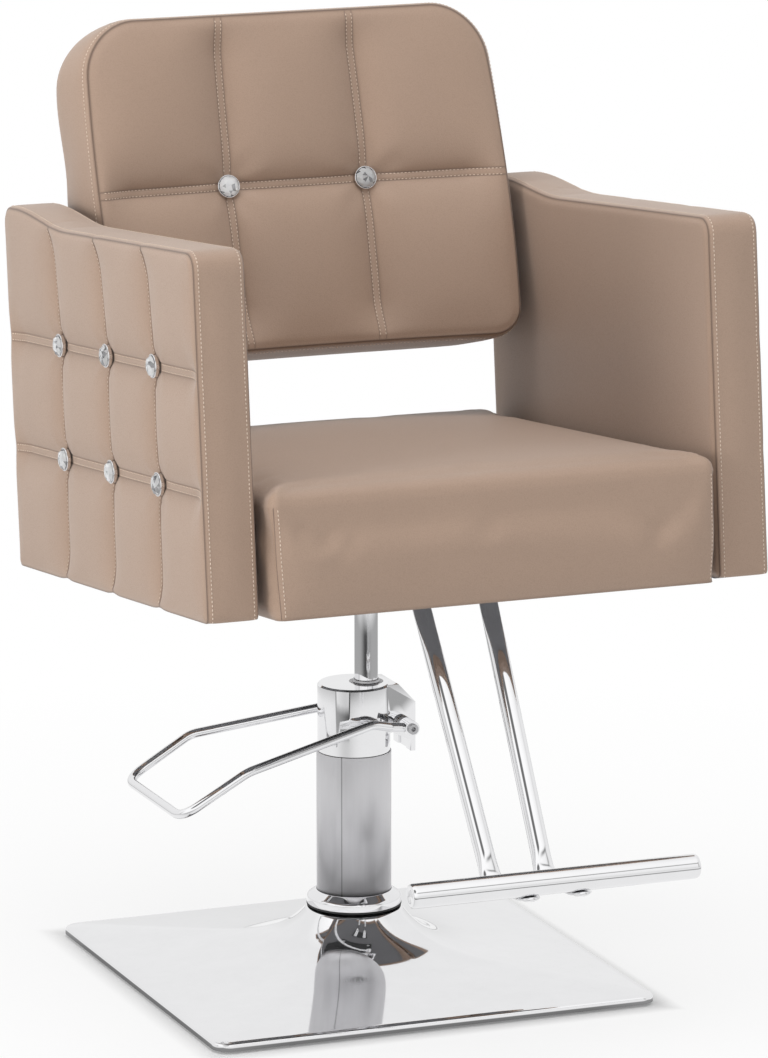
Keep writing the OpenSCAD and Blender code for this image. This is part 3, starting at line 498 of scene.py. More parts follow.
def swept(path, wide, high, reference, sides=24, power=2.0):
    """A closed tube along a path. Its section is wide |cos|^(2/power) by high |sin|^(2/power)."""
    along = unit(np.gradient(path, axis=0))
    side = unit(reference - along * np.sum(along * reference, axis=1, keepdims=True))
    up = np.cross(along, side)
    angle = circle(sides)
    c, s = (np.sign(f(angle)) * np.abs(f(angle)) ** (2 / power) for f in (np.cos, np.sin))
    points = (path[:, None] + side[:, None] * (wide[:, None] * c)[..., None]
              + up[:, None] * (high[:, None] * s)[..., None])
    ring = np.arange(len(path) * sides).reshape(-1, sides)
    return points.reshape(-1, 3), ring_quads(ring).tolist() + [ring[0, ::-1].tolist(), ring[-1].tolist()]


def joined(parts):
    """Several (vertices, faces) as one."""
    vertices, faces, start = [], [], 0
    for points, cells in parts:
        vertices.append(points)
        cells = cells if isinstance(cells, list) else cells.tolist()
        faces += [[k + start for k in face] for face in cells]
        start += len(points)
    return np.concatenate(vertices), faces


def softened(node, name, width, segments=2):
    """A copy of a frame node with its loose triangles merged, flat faces joined and edges rounded."""
    mesh = frame["nodes"][node].data.copy()
    mesh.name = name
    bm = bmesh.new()
    bm.from_mesh(mesh)
    bmesh.ops.remove_doubles(bm, verts=bm.verts, dist=SAME_POINT)
    bmesh.ops.dissolve_limit(bm, angle_limit=FLAT_ANGLE, verts=bm.verts, edges=bm.edges)
    bm.to_mesh(mesh)
    bm.free()
    obj = bpy.data.objects.new(name, mesh)
    bpy.context.scene.collection.objects.link(obj)
    bevel = obj.modifiers.new("Rounded edges", "BEVEL")
    bevel.width, bevel.segments, bevel.limit_method = width, segments, "ANGLE"
    bevel.angle_limit = SHARP_ANGLE
    mesh.polygons.foreach_set("use_smooth", np.full(len(mesh.polygons), True))
    mesh.set_sharp_from_angle(angle=SHARP_ANGLE)
    return obj


def swell(name, skin, sewn, cap):
    """How far the points of a coarse skin move when the cloth solver fills it, each at most cap.

    sewn is True where a seam, a button or a board holds the cover."""
    points = skin.vertices()
    scene = bpy.context.scene
    obj = make_object(name, points, skin.quads())
    group = obj.vertex_groups.new(name="sewn")
    group.add(np.flatnonzero(sewn).tolist(), 1.0, "REPLACE")
    cloth = obj.modifiers.new("Cloth", "CLOTH")
    for key, value in CLOTH_VALUES.items():
        setattr(cloth.settings, key, value)
    cloth.settings.uniform_pressure_force = finish_values().pressure
    cloth.settings.vertex_group_mass = "sewn"
    cloth.settings.effector_weights.gravity = 0
    cloth.point_cache.frame_start, cloth.point_cache.frame_end = 1, FILL_FRAMES
    for number in range(1, FILL_FRAMES + 1):
        scene.frame_set(number)
    filled = obj.evaluated_get(bpy.context.evaluated_depsgraph_get())
    moved = np.empty(len(points) * 3)
    filled.to_mesh().vertices.foreach_get("co", moved)
    filled.to_mesh_clear()
    scene.frame_set(1)
    bpy.data.objects.remove(obj)
    shift = moved.reshape(-1, 3) - points
    size = np.linalg.norm(shift, axis=1, keepdims=True)
    return shift * np.minimum(1.0, cap / np.maximum(size, 1e-9))


def stitches(paths, size=STITCH_SIZE):
    """Thread along paths of (points, normals): one flattened capsule every pitch, half sunk in the cover.

    A capsule is rings at s in -1..1 along the path, of radius sqrt(1 - s^4) times its half sizes."""
    pitch = finish_values().stitch
    half, wide, high = size
    s, angle = np.array([-1.0, -0.82, -0.3, 0.3, 0.82, 1.0]), circle(6)
    radius = np.sqrt(np.maximum(1 - s ** 4, 0.02))[:, None]
    shape = np.stack([np.broadcast_to(s[:, None] * half, (6, 6)), radius * wide * np.cos(angle),
                      radius * high * np.sin(angle)], axis=-1).reshape(-1, 3)
    ends = [[0, 3, 2, 1], [0, 5, 4, 3], [30, 31, 32, 33], [30, 33, 34, 35]]
    cells = np.concatenate([ring_quads(np.arange(36).reshape(6, 6)), ends])
    vertices, faces, start = [], [], 0
    for points, normals in paths:
        run = arc_length(points)
        places = np.arange(pitch / 2, run[-1], pitch)
        if not len(places):
            continue
        centre, up, along = (at_places(places, run, rows)
                             for rows in (points, normals, np.gradient(points, axis=0)))
        up, along = unit(up), unit(along)
        axes = np.stack([along, np.cross(up, along), up], axis=1)
        vertices.append(((centre + up * STITCH_LIFT)[:, None] + shape @ axes).reshape(-1, 3))
        faces.append((cells + start + 36 * np.arange(len(places))[:, None, None]).reshape(-1, 4))
        start += 36 * len(places)
    return np.concatenate(vertices), np.concatenate(faces)


# Finishes

class Graph:
    """Short ways to add nodes to a tree and link them."""

    def __init__(self, tree):
        self.tree = tree

    def add(self, kind, values=None, **inputs):
        """A node with its values and its inputs, which are named, or numbered as n0, n1 and so on."""
        node = self.tree.nodes.new(kind)
        for key, value in (values or {}).items():
            setattr(node, key, value)
        for key, value in inputs.items():
            number = key[1:].isdigit()
            self.feed(node.inputs[int(key[1:]) if number else key.replace("_", " ")], value)
        return node

    def feed(self, socket, value):
        """Links an output to a socket, or sets the socket's value."""
        if isinstance(value, bpy.types.NodeSocket):
            self.tree.links.new(value, socket)
        else:
            socket.default_value = value

    def math(self, operation, a, b=None, c=None, clamp=False):
        """One operation on one to three values."""
        node = self.add("ShaderNodeMath", {"operation": operation, "use_clamp": clamp})
        for socket, value in zip(node.inputs, (a, b, c)):
            if value is not None:
                self.feed(socket, value)
        return node.outputs[0]

    def mix(self, share, a, b):
        """Colour a (1 - share) + b share."""
        return self.add("ShaderNodeMix", {"data_type": "RGBA"}, n0=share, n6=a, n7=b).outputs[2]

    def spread(self, value, low, high, out_low=0.0, out_high=1.0):
        """A value from low to high brought straight to out_low to out_high, and held between them."""
        return self.add("ShaderNodeMapRange", n0=value, n1=low, n2=high, n3=out_low, n4=out_high).outputs[0]

    def noise(self, vector, scale, detail=2.0, **inputs):
        """A noise's height, from 0 to 1."""
        node = self.add("ShaderNodeTexNoise", Vector=vector, Scale=scale, Detail=detail, **inputs)
        return node.outputs["Fac"]

    def bump(self, shader, height, strength, distance):
        """Feeds a height to a shader's normal."""
        node = self.add("ShaderNodeBump", Height=height, Strength=strength, Distance=distance)
        self.feed(shader.inputs["Normal"], node.outputs[0])

    def group(self, group, **inputs):
        """The outputs of a shader group with its own values."""
        return self.add("ShaderNodeGroup", {"node_tree": group}, **inputs).outputs


def scaled(colour, share=1.0):
    """A colour times a share, at most 1, as a colour socket takes it."""
    return (*(min(1.0, c * share) for c in colour[:3]), 1.0)


def effect(name, **inputs):
    """Makes fill(graph, inputs) into a function that gives a shader group, built once.

    Each input has its default here. fill gives the outputs, a value for each label."""
    def wrap(fill):
        def built():
            if name not in bpy.data.node_groups:
                group = bpy.data.node_groups.new(name, "ShaderNodeTree")
                for label, default in inputs.items():
                    kind = "NodeSocketFloat" if isinstance(default, float) else "NodeSocketVector"
                    socket = group.interface.new_socket(label, in_out="INPUT", socket_type=kind)
                    socket.default_value = default
                g = Graph(group)
                results = fill(g, g.add("NodeGroupInput").outputs)
                for label in results:
                    group.interface.new_socket(label, in_out="OUTPUT", socket_type="NodeSocketFloat")
                end = g.add("NodeGroupOutput")
                for label, value in results.items():
                    g.feed(end.inputs[label], value)
            return bpy.data.node_groups[name]
        return built
    return wrap


def finish(name):
    """Makes fill(graph, shader, place) into a function that gives a material, made once.

    shader is its Principled shader and place its object coordinates."""
    def wrap(fill):
        def made():
            if name not in bpy.data.materials:
                bpy.data.materials.new(name).use_nodes = True
                g = Graph(bpy.data.materials[name].node_tree)
                fill(g, g.tree.nodes["Principled BSDF"], g.add("ShaderNodeTexCoord").outputs["Object"])
            return bpy.data.materials[name]
        return made
    return wrap


def plain(name, nodes, *values, **more):
    """A finish of one kind of nodes with its own values."""
    return finish(name)(lambda g, shader, place: nodes(g, shader, place, *values, **more))


@effect("Leather grain", Vector=(0.0, 0.0, 0.0), Size=1.1 * MM)
def grain_group(g, given):
    """Embossed leatherette: pebbles from smooth Voronoi cells, pores between them, and slow clouds of tone.

    Outputs a height, a tone from 0 to 1 and a gloss change from 0 to 1."""
    vector = given["Vector"]
    scale = g.math("DIVIDE", 1.0, given["Size"])
    warp = g.add("ShaderNodeTexNoise", Vector=vector, Scale=g.math("MULTIPLY", scale, 0.5), Detail=2.0)
    shifted = g.add("ShaderNodeVectorMath", {"operation": "MULTIPLY_ADD"}, n0=warp.outputs["Color"],
                    n1=(0.6 * MM,) * 3, n2=vector)
    cells = g.add("ShaderNodeTexVoronoi", {"feature": "SMOOTH_F1"}, Vector=shifted.outputs[0], Scale=scale)
    cells.inputs["Smoothness"].default_value = 0.35
    distance = cells.outputs["Distance"]
    fine = g.noise(vector, g.math("MULTIPLY", scale, 2.2), 3.0)
    clouds = g.noise(vector, 14.0, 4.0)
    return {"Height": g.math("MULTIPLY_ADD", fine, 0.35, g.math("SUBTRACT", 1.0, distance)),
            "Tone": g.math("ADD", g.math("MULTIPLY", clouds, 0.65), g.math("MULTIPLY", fine, 0.35)),
            "Gloss": g.math("MULTIPLY", distance, 1.2, clamp=True)}


@effect("Handling marks", Vector=(0.0, 0.0, 0.0), Scale=30.0, Stretch=(1.0, 1.0, 1.0))
def smudge_group(g, given):
    """Faint wiping marks and dust on metal: stretched noise for marks, fine noise for dust."""
    drawn = g.add("ShaderNodeVectorMath", {"operation": "MULTIPLY"}, n0=given["Vector"], n1=given["Stretch"])
    marks = g.noise(drawn.outputs[0], given["Scale"], 5.0, Roughness=0.6)
    dust = g.noise(given["Vector"], 900.0)
    return {"Marks": g.spread(marks, 0.35, 0.7), "Dust": g.spread(dust, 0.62, 0.75)}


@finish("Taupe leatherette")
def leatherette(g, shader, place):
    """Taupe leatherette: grain, slow tone changes, painted shade down in the seams, with a soft sheen."""
    values = finish_values()
    grain = g.group(grain_group(), Vector=place, Size=values.grain)
    crease = g.add("ShaderNodeAttribute", {"attribute_name": "crease"}).outputs["Fac"]
    colour = g.mix(grain["Tone"], scaled(values.leather, 0.94), scaled(values.leather, 1.05))
    colour = g.mix(g.math("MULTIPLY", grain["Gloss"], 0.16), colour, scaled(values.seam))
    # Painted shade: the per-vertex attribute mixes the colour toward the seam colour in seams, along rims and
    # under the seat
    g.feed(shader.inputs["Base Color"], g.mix(crease, colour, scaled(values.seam)))
    g.feed(shader.inputs["Roughness"], g.math("MULTIPLY_ADD", grain["Gloss"], 0.14, 0.46))
    shader.inputs["Specular IOR Level"].default_value = 0.48
    shader.inputs["Sheen Weight"].default_value = 0.22
    g.bump(shader, grain["Height"], 0.32, 0.25 * MM)


@finish("Sewing thread")
def thread(g, shader, place):
    """Twisted sewing thread: a fine diagonal twist on a pale ground."""
    colour = finish_values().thread
    twist = g.add("ShaderNodeTexWave", {"bands_direction": "DIAGONAL"}, Vector=place, Scale=900.0,
                  Distortion=1.0)
    g.feed(shader.inputs["Base Color"], g.mix(twist.outputs["Fac"], scaled(colour, 0.8), scaled(colour)))
    shader.inputs["Roughness"].default_value = 0.6


def metal_nodes(g, shader, place, colour, roughness, marks=0.05, stretch=(1, 1, 1), scale=30.0, brushed=0.0):
    """Bare or plated metal with faint marks and dust, and drawn lines where brushed is above 0.

    colour is a colour or the name of one of the panel's."""
    colour = getattr(finish_values(), colour) if isinstance(colour, str) else colour
    worn = g.group(smudge_group(), Vector=place, Scale=scale, Stretch=stretch)
    share = g.math("MULTIPLY", worn["Marks"], 0.25)
    g.feed(shader.inputs["Base Color"], g.mix(share, scaled(colour), scaled(colour, 0.9)))
    rough = g.math("MULTIPLY_ADD", worn["Marks"], marks, roughness)
    g.feed(shader.inputs["Roughness"], g.math("MULTIPLY_ADD", worn["Dust"], 0.04, rough))
    shader.inputs["Metallic"].default_value = 1.0
    if brushed > 0:
        g.bump(shader, worn["Marks"], brushed, 0.2 * MM)


@finish("Satin sleeve")
def satin(g, shader, place):
    """Satin tube with drawn lines along it and one thin dark joint line."""
    metal_nodes(g, shader, place, "satin", 0.36, marks=0.04, stretch=(1, 1, 0.04), scale=420.0, brushed=0.025)
    split = g.add("ShaderNodeSeparateXYZ", Vector=place)
    around = g.math("ARCTAN2", split.outputs["Y"], split.outputs["X"])
    line = g.spread(g.math("ABSOLUTE", g.math("SUBTRACT", around, JOINT_ANGLE)), 0.006, 0.022, 1.0, 0.0)
    tube = shader.inputs["Base Color"].links[0].from_socket
    g.feed(shader.inputs["Base Color"], g.mix(g.math("MULTIPLY", line, 0.6), tube, (0.08, 0.08, 0.085, 1)))


def moulded_nodes(g, shader, place, colour, roughness, grain=0.25, scale=400.0, **sockets):
    """Rubber, paint or plastic: a fine orange peel and a slow change of tone."""
    tone = g.noise(place, 25.0, 3.0)
    g.feed(shader.inputs["Base Color"], g.mix(tone, scaled(colour, 0.85), scaled(colour, 1.15)))
    g.feed(shader.inputs["Roughness"], g.math("MULTIPLY_ADD", tone, 0.12, roughness))
    g.bump(shader, g.noise(place, scale, 3.0), grain, 0.4 * MM)
    for key, value in sockets.items():
        shader.inputs[key.replace("_", " ")].default_value = value


@finish("Grey nonwoven")
def nonwoven(g, shader, place):
    """Grey nonwoven cover: short fibres from a noise and a dimpled press pattern."""
    dots = g.add("ShaderNodeTexVoronoi", Vector=place, Scale=650.0).outputs["Distance"]
    fibre = g.noise(place, 1200.0, 4.0)
    g.feed(shader.inputs["Base Color"], g.mix(fibre, (0.09, 0.09, 0.095, 1), (0.24, 0.24, 0.25, 1)))
    shader.inputs["Roughness"].default_value = 0.9
    g.bump(shader, g.math("ADD", fibre, g.math("MULTIPLY", dots, 0.8)), 0.5, 0.4 * MM)


@finish("Plywood")
def plywood(g, shader, place):
    """Plywood: plies and long grain from a distorted wave."""
    wave = g.add("ShaderNodeTexWave", {"bands_direction": "Z"}, Vector=place, Scale=55.0, Distortion=3.0,
                 Detail=3.0).outputs["Fac"]
    g.feed(shader.inputs["Base Color"], g.mix(wave, (0.42, 0.27, 0.14, 1), (0.62, 0.45, 0.27, 1)))
    shader.inputs["Roughness"].default_value = 0.7


@finish("Cut crystal")
def crystal(g, shader, place):
    """Cut crystal over a mirror foil: flat facets with a painted reflection, each coloured bright or dark at
    random to stand for the light it returns.
    """
    clear = g.mix(g.noise(place, 90.0), (0.93, 0.94, 0.95, 1), (1, 1, 1, 1))
    facet = g.add("ShaderNodeAttribute", {"attribute_name": "facet"}).outputs["Fac"]
    g.feed(shader.inputs["Base Color"], g.mix(facet, (0.05, 0.05, 0.06, 1), clear))
    for socket, value in (("Roughness", 0.0), ("IOR", 1.6), ("Transmission Weight", 0.6)):
        shader.inputs[socket].default_value = value


# Finishes of one kind of nodes, each with its own colour, roughness and marks
chrome = plain("Polished chrome", metal_nodes, "chrome", 0.035, marks=0.03)
steel = plain("Zinc plated steel", metal_nodes, (0.55, 0.55, 0.56), 0.3, marks=0.15)
bronze = plain("Bearing bronze", metal_nodes, (0.55, 0.38, 0.18), 0.32, marks=0.12)
foil = plain("Mirror foil", metal_nodes, (0.93, 0.93, 0.94), 0.02, marks=0.0)
rubber = plain("Black rubber", moulded_nodes, (0.02, 0.02, 0.021), 0.55)
black_paint = plain("Black powder coat", moulded_nodes, (0.025, 0.025, 0.026), 0.42, scale=1400.0)
clear_plastic = plain("Clear plastic", moulded_nodes, (0.85, 0.87, 0.88), 0.12, grain=0.05,
                      Transmission_Weight=0.7)

# Finish of each slot that the record names
FRAME_FINISHES = {
    "steel": steel, "bronze": bronze, "chrome": chrome, "satin_sleeve": satin, "black_paint": black_paint,
    "black_rubber": rubber, "clear_pad": clear_plastic, "plywood": plywood, "grey_cloth": nonwoven,
    "taupe_cushion": leatherette, "taupe_panel": leatherette, "crystal": crystal,
}


# Upholstery shapes

def puff(v, lines, roll, band=0.0, strip=0.0):
    """Height share across sewn panels: 0 on a sewn line, near 1 in the middle of a panel.

    Beyond a line at distance d it is steep (1 - exp(-d / roll)) + (1 - steep) sqrt(sin) across the panel.
    Inside a band of two lines it is strip (1 - (gap / band)^2)."""
    steep = 0.72
    lines = np.asarray(lines)
    k = np.clip(np.searchsorted(lines, v, side="right") - 1, 0, len(lines) - 2)
    low, high = lines[k] + band, lines[k + 1] - band
    gap = np.minimum(v - lines[k], lines[k + 1] - v)
    dome = np.sin(math.pi * np.clip((v - low) / (high - low), 0, 1)) ** 0.5
    panel = steep * (1 - np.exp(-np.maximum(gap - band, 0) / roll)) + (1 - steep) * dome
    return np.where(gap >= band, panel, strip * (1 - (gap / max(band, 1e-9)) ** 2))


def nearest(v, lines):
    """Distance to the nearest of some lines."""
    return np.min(np.abs(v[..., None] - np.asarray(lines)), axis=-1)


def mound(distance, width):
    """exp(-(distance / width)^2): 1 at distance 0 and near 0 past twice the width."""
    return np.exp(-(distance / width) ** 2)


def seated_grid(*parts):
    """x, y and z, each a grid or one value, as a grid of points in the row frame."""
    return seated(np.stack(np.broadcast_arrays(*parts), axis=-1).astype(float))


def straight_line(skin, start, end, count):
    """along_line from one place (u, v) to another in even steps."""
    u, v = np.linspace(start, end, count).T
    return along_line(skin, u, v)


def seam_bulge(depth, roll):
    """A band's profile: it rises from the seams at both edges as depth (1 - exp(-gap / roll))."""
    def bulge(ts, width):
        """Height at the shares ts across a band of each width."""
        gap = np.minimum(ts, 1 - ts)[:, None] * width
        return depth * (1 - np.exp(-gap / roll))
    return bulge


def arm_top_rise(y):
    """How far the arm's top stands above its front height: rise ramp((y - 40 mm) / 165 mm)."""
    return arm_sizes().rise * ramp((y - 0.040) / 0.165)


def arm_skin(us, vs, ts):
    """One arm pad, mirrored for the other side. The outer face is tufted, the inner face has a low crown.

    Outer x = face - tuft (1 - puff_y puff_z), less near the edge, - the buttons' pull - fall at the edge."""
    arm = arm_sizes()
    corners, sink, top_lean, between_rows = (0.006, 0.017), 2.2 * MM, 16 * MM, 0.19
    roll, beyond, strip_share, shallow, tuft_width = 0.009, 0.03, 0.12, 0.4, 0.035
    notch_front, notch_back, notch_low, notch_top = 0.8 * MM, 2.8 * MM, 1.8 * MM, 0.4 * MM
    pull_depth, pull_width, fold_depth, fold_radius, fold_width = 2.5 * MM, 0.018, 0.7 * MM, 0.024, 0.011
    edge_width, outer_fall, inner_fall, inner_crown, crown_reach = 0.009, 3.0 * MM, 2.2 * MM, 0.6 * MM, 0.12
    deep = arm.back - arm.front
    y0, z0 = np.meshgrid(us, vs)
    over = np.clip((z0 - BUTTON_ROWS[1]) / (arm.high - BUTTON_ROWS[1]), 0, 1)
    lean = top_lean * over ** 2 * np.sin(math.pi * (y0 - arm.front) / deep)
    y, z = rounded(y0, z0, (arm.front, 0.0), (arm.back, arm.high), corners)
    middle_y, middle_z = (arm.front + arm.back) / 2, arm.high / 2
    y = middle_y + (y - middle_y) * (1 - 2 * sink / deep) + lean
    z = middle_z + (z - middle_z) * (1 - 2 * sink / arm.high) + arm_top_rise(y) * np.clip(over * 1.2, 0, 1)
    inset = np.minimum(np.minimum(y0 - arm.front, arm.back - y0), np.minimum(z0, arm.high - z0))
    columns = [arm.front - beyond, *BUTTON_COLUMNS, arm.back + beyond]
    rows = [-beyond, *BUTTON_ROWS, arm.high + beyond]
    high = puff(y0, columns, roll) * puff(z0, rows, roll, arm.band, strip_share)
    # A seam that meets the outline draws it in a little: more at the back and below than in front and above
    far_y, far_z = (2 * y0 - arm.front - arm.back) / deep, 2 * z0 / arm.high - 1
    to_column, to_row = nearest(y0, BUTTON_COLUMNS), nearest(z0, BUTTON_ROWS)
    notch_y = np.where(far_y < 0, notch_front, notch_back) * mound(to_row, 0.012) * far_y ** 9
    notch_z = np.where(far_z > 0, notch_top, notch_low) * mound(to_column, 0.011) * far_z ** 9
    to_button = np.hypot(to_column, to_row)
    pull = pull_depth * mound(to_button, pull_width)
    row = np.where(z0 < between_rows, BUTTON_ROWS[0], BUTTON_ROWS[1])
    column = np.asarray(BUTTON_COLUMNS)[np.abs(y0[..., None] - BUTTON_COLUMNS).argmin(-1)]
    angle = np.arctan2(z0 - row, y0 - column)
    folds = fold_depth * mound(to_button - fold_radius, fold_width) * np.cos(9 * angle)
    edge = ramp(inset / edge_width)
    tuft = arm.tuft * (1 - high) * (shallow + (1 - shallow) * ramp(inset / tuft_width))
    outer = arm.inner + arm.thick - (tuft + pull - folds) * edge - outer_fall * (1 - edge) ** 2
    inner = arm.inner + inner_fall * (1 - edge) ** 2 - inner_crown * ramp(inset / crown_reach)
    skin = Skin(us, vs, seated_grid(outer, y - notch_y, z - notch_z), seated_grid(inner, y, z), ts,
                seam_bulge(2.8 * MM, 2.5 * MM), lambda row, column: np.where(row == 0, 0.0, 1.0))
    skin.y0, skin.z0, skin.inset = y0, z0, inset
    return skin


def arm_seam_shade(skin):
    """Painted shade down in the arm's seams: upright seams, band edges, the faces' rim and the strip's edges.
    """
    arm = arm_sizes()
    upright = mound(nearest(skin.y0, BUTTON_COLUMNS), 1.6 * MM)
    band = mound(nearest(skin.z0, BUTTON_ROWS) - arm.band, 0.9 * MM)
    rim_shade = 0.85 * mound(skin.inset, 1.1 * MM)
    front = np.maximum(np.maximum(0.9 * upright, 0.4 * band), rim_shade)
    gap = np.minimum(skin.ts, 1 - skin.ts) * arm.thick
    strip = np.repeat(0.85 * mound(gap, 1.1 * MM)[:, None], skin.band.shape[1], axis=1)
    return np.concatenate([front.ravel(), rim_shade.ravel(), strip.ravel()])


def strip_places(width, fine, coarse, reach):
    """Shares across a band, packed near both edges, without the edges themselves."""
    return knots([0.0, width], fine, coarse, reach)[1:-1] / width


def arm_lines():
    """The arm's outline and sewn lines, along it and above its foot."""
    arm = arm_sizes()
    return ([arm.front, *BUTTON_COLUMNS, arm.back],
            [0.0, *[row + side * arm.band for row in BUTTON_ROWS for side in (-1, 1)], arm.high])


def held_points(skin, front):
    """One flag for each point of a skin: front for its front face, all of the back face, none of the band."""
    return np.concatenate([front.ravel(), np.full(front.size, True), np.full(skin.band[..., 0].size, False)])


def arm_sewn(skin):
    """Where the arm's cover is held: its seams, the buttons and the whole inner face."""
    near_row = nearest(skin.z0, BUTTON_ROWS) < arm_sizes().band + MM
    return held_points(skin, (nearest(skin.y0, BUTTON_COLUMNS) < MM) | near_row | (skin.inset < MM))


def seat_skin(us, vs, ts):
    """The seat cushion: a crowned top with rounded edges over drawn-in sides, hollow under the board.

    Top z = depth + crown (1 - x^2) (1 - y^4) - fall of a quarter circle at the edge."""
    seat = seat_place()
    radius, shrink, forward, drawn_in = 0.015, 0.99, 3.0 * MM, 3.5 * MM
    welt, welt_width, recess, recess_inset, recess_edge = 1.5 * MM, 0.012, 10.3 * MM, 0.0185, 0.003
    top_corners, low_corners = (0.010, 0.018), (0.010, 0.016)
    x0, y0 = np.meshgrid(us, vs)
    share_x = x0 / seat.half_top
    share_y = (2 * y0 - seat.front - seat.back) / (seat.back - seat.front)
    x, y = rounded(x0, y0, (-seat.half_top, seat.front), (seat.half_top, seat.back), top_corners)
    inset = np.minimum(seat.half_top - np.abs(x0), np.minimum(y0 - seat.front, seat.back - y0))
    fall = radius - np.sqrt(np.maximum(radius ** 2 - np.maximum(radius - inset, 0) ** 2, 0))
    crown = seat.crown * (1 - np.clip(share_x, -1, 1) ** 2) * (1 - np.clip(share_y, -1, 1) ** 4)
    low_x, low_y = rounded(x0 * seat.half_bottom / seat.half_top, y0 * shrink,
                           (-seat.half_bottom, seat.front * shrink), (seat.half_bottom, seat.back * shrink),
                           low_corners)
    under = welt * (1 - ramp(inset / welt_width)) + recess * ramp((inset - recess_inset) / recess_edge)
    skin = Skin(us, vs, seated_grid(x, y, seat.depth + crown - fall), seated_grid(low_x, low_y, under), ts)
    sides = ((skin.loop[1] == 0) | (skin.loop[1] == skin.columns - 1)).astype(float)
    ahead = (skin.loop[0] == 0).astype(float)
    hump = np.sin(math.pi * skin.ts)[:, None]
    skin.band = skin.band + skin.outward * (hump * (forward * ahead - drawn_in * sides))[..., None]
    skin.x0, skin.y0, skin.inset = x0, y0, inset
    return skin


def back_centre(z):
    """Depth of the backrest's front at its middle: straight from low_y to high_y."""
    b = back_sizes()
    return b.low_y + (b.high_y - b.low_y) * (z - b.low) / (b.high - b.low)


def back_skin(us, vs, ts):
    """The backrest cushion: two upright seams and a cross seam make six puffed panels.

    Front y = centre(z) - wrap (1 - lean) x^2 - level + fall at the edge. Level goes from rim at the outline
    to puff in a panel's middle and minus sink in a seam. The back is flat and flares above the arms."""
    b = back_sizes()
    corners, sink, smaller = (0.028, 0.057), 3 * MM, 2 * MM
    waist, waist_z, waist_reach = 9 * MM, 0.392, 0.180
    beyond_x, beyond_z, roll_x, roll_z, strip_x, strip_z = 0.04, 0.045, 0.016, 0.013, 0.04, 0.06
    edge_width, edge_fall, level_width = 0.014, 3.0 * MM, 0.045
    rear_lower, rear_shorter, flare_z, flare_reach = 0.016, 0.014, 0.400, 0.110
    pull_depth, pull_width, fold_depth, fold_radius, fold_width = 6 * MM, 0.022, 0.9 * MM, 0.032, 0.014
    x0, z0 = np.meshgrid(us, vs)
    inset = np.minimum(b.half - np.abs(x0), np.minimum(z0 - b.low, b.high - z0))

    def outline(low, high):
        """x and z of the outline between two heights, wide at waist_z and drawn in above and below it."""
        share = (z0 - b.low) / (b.high - b.low)
        p, q = rounded(x0, low + share * (high - low), (-b.half, low), (b.half, high), corners)
        z = b.low + (q - low) / (high - low) * (b.high - b.low)
        return p * (b.half - waist * ((z - waist_z) / waist_reach) ** 2) / b.half, q

    x, z = outline(b.low + smaller, b.high - smaller)
    x = x * (1 - smaller / b.half)
    lines_x = [-b.half - beyond_x, -b.seam_x, b.seam_x, b.half + beyond_x]
    lines_z = [b.low - beyond_z, b.seam_z, b.high + beyond_z]
    high = puff(x0, lines_x, roll_x, b.band, strip_x) * puff(z0, lines_z, roll_z, b.band, strip_z)
    to_button = np.hypot(nearest(x0, [-b.seam_x, b.seam_x]), z0 - b.seam_z)
    pull = pull_depth * mound(to_button, pull_width)
    angle = np.arctan2(z0 - b.seam_z, np.abs(x0) - b.seam_x)
    folds = fold_depth * mound(to_button - fold_radius, fold_width) * np.cos(7 * angle)
    edge = ramp(inset / edge_width)
    level = b.rim + (b.puff * high - sink * (1 - high) - b.rim) * ramp(inset / level_width)
    lean = (z - b.low) / (b.high - b.low)
    y = (back_centre(z) - b.wrap * (1 - lean) * (x / b.half) ** 2 - level
         + (pull - folds) * edge + edge_fall * (1 - edge) ** 2)
    rear_x, rear_z = outline(b.low - rear_lower, b.high - rear_shorter)
    rear_x = rear_x * (1 + b.flare * ramp((rear_z - flare_z) / flare_reach) / b.half)
    skin = Skin(us, vs, seated_grid(x, y, z), seated_grid(rear_x, b.plane, rear_z), ts,
                seam_bulge(5.0 * MM, 6 * MM))
    skin.x0, skin.z0, skin.inset = x0, z0, inset
    return skin


def back_seam_shade(skin):
    """Painted shade down in the backrest's seams, along its front's rim and along the gusset's edges."""
    b = back_sizes()
    upright = 0.5 * mound(nearest(skin.x0, [-b.seam_x, b.seam_x]) - b.band, MM)
    cross = 0.6 * mound(np.abs(skin.z0 - b.seam_z) - b.band, MM)
    rim_shade = 0.9 * mound(skin.inset, 1.3 * MM)
    front = np.maximum(np.maximum(upright, cross), rim_shade)
    width = np.linalg.norm(skin.back[skin.loop] - skin.front[skin.loop], axis=-1)
    gap = np.minimum(skin.ts, 1 - skin.ts)[:, None] * width
    return np.concatenate([front.ravel(), rim_shade.ravel(), (0.9 * mound(gap, 1.3 * MM)).ravel()])


def button_places():
    """Centre and outward direction of each button's cup, in the row frame."""
    arm, b = arm_sizes(), back_sizes()
    arm_sink, back_sink, turn = 9.5 * MM, 5 * MM, math.radians(80)
    places = [((side * (arm.inner + arm.thick - arm_sink), y, z), (side, 0, 0))
              for side in (-1, 1) for y in BUTTON_COLUMNS for z in BUTTON_ROWS]
    places += [((side * b.seam_x, float(back_centre(b.seam_z)) + back_sink, b.seam_z),
                (0, -math.sin(turn), math.cos(turn))) for side in (-1, 1)]
    origin = seated(np.zeros(3))
    return [(seated(np.array(p)), seated(np.array(d, float)) - origin) for p, d in places]


def mirrored(skin_points):
    """Points mirrored to the other side of the ram."""
    flipped = skin_points.copy()
    flipped[:, 0] = 2 * seat_place().ram_x - flipped[:, 0]
    return flipped


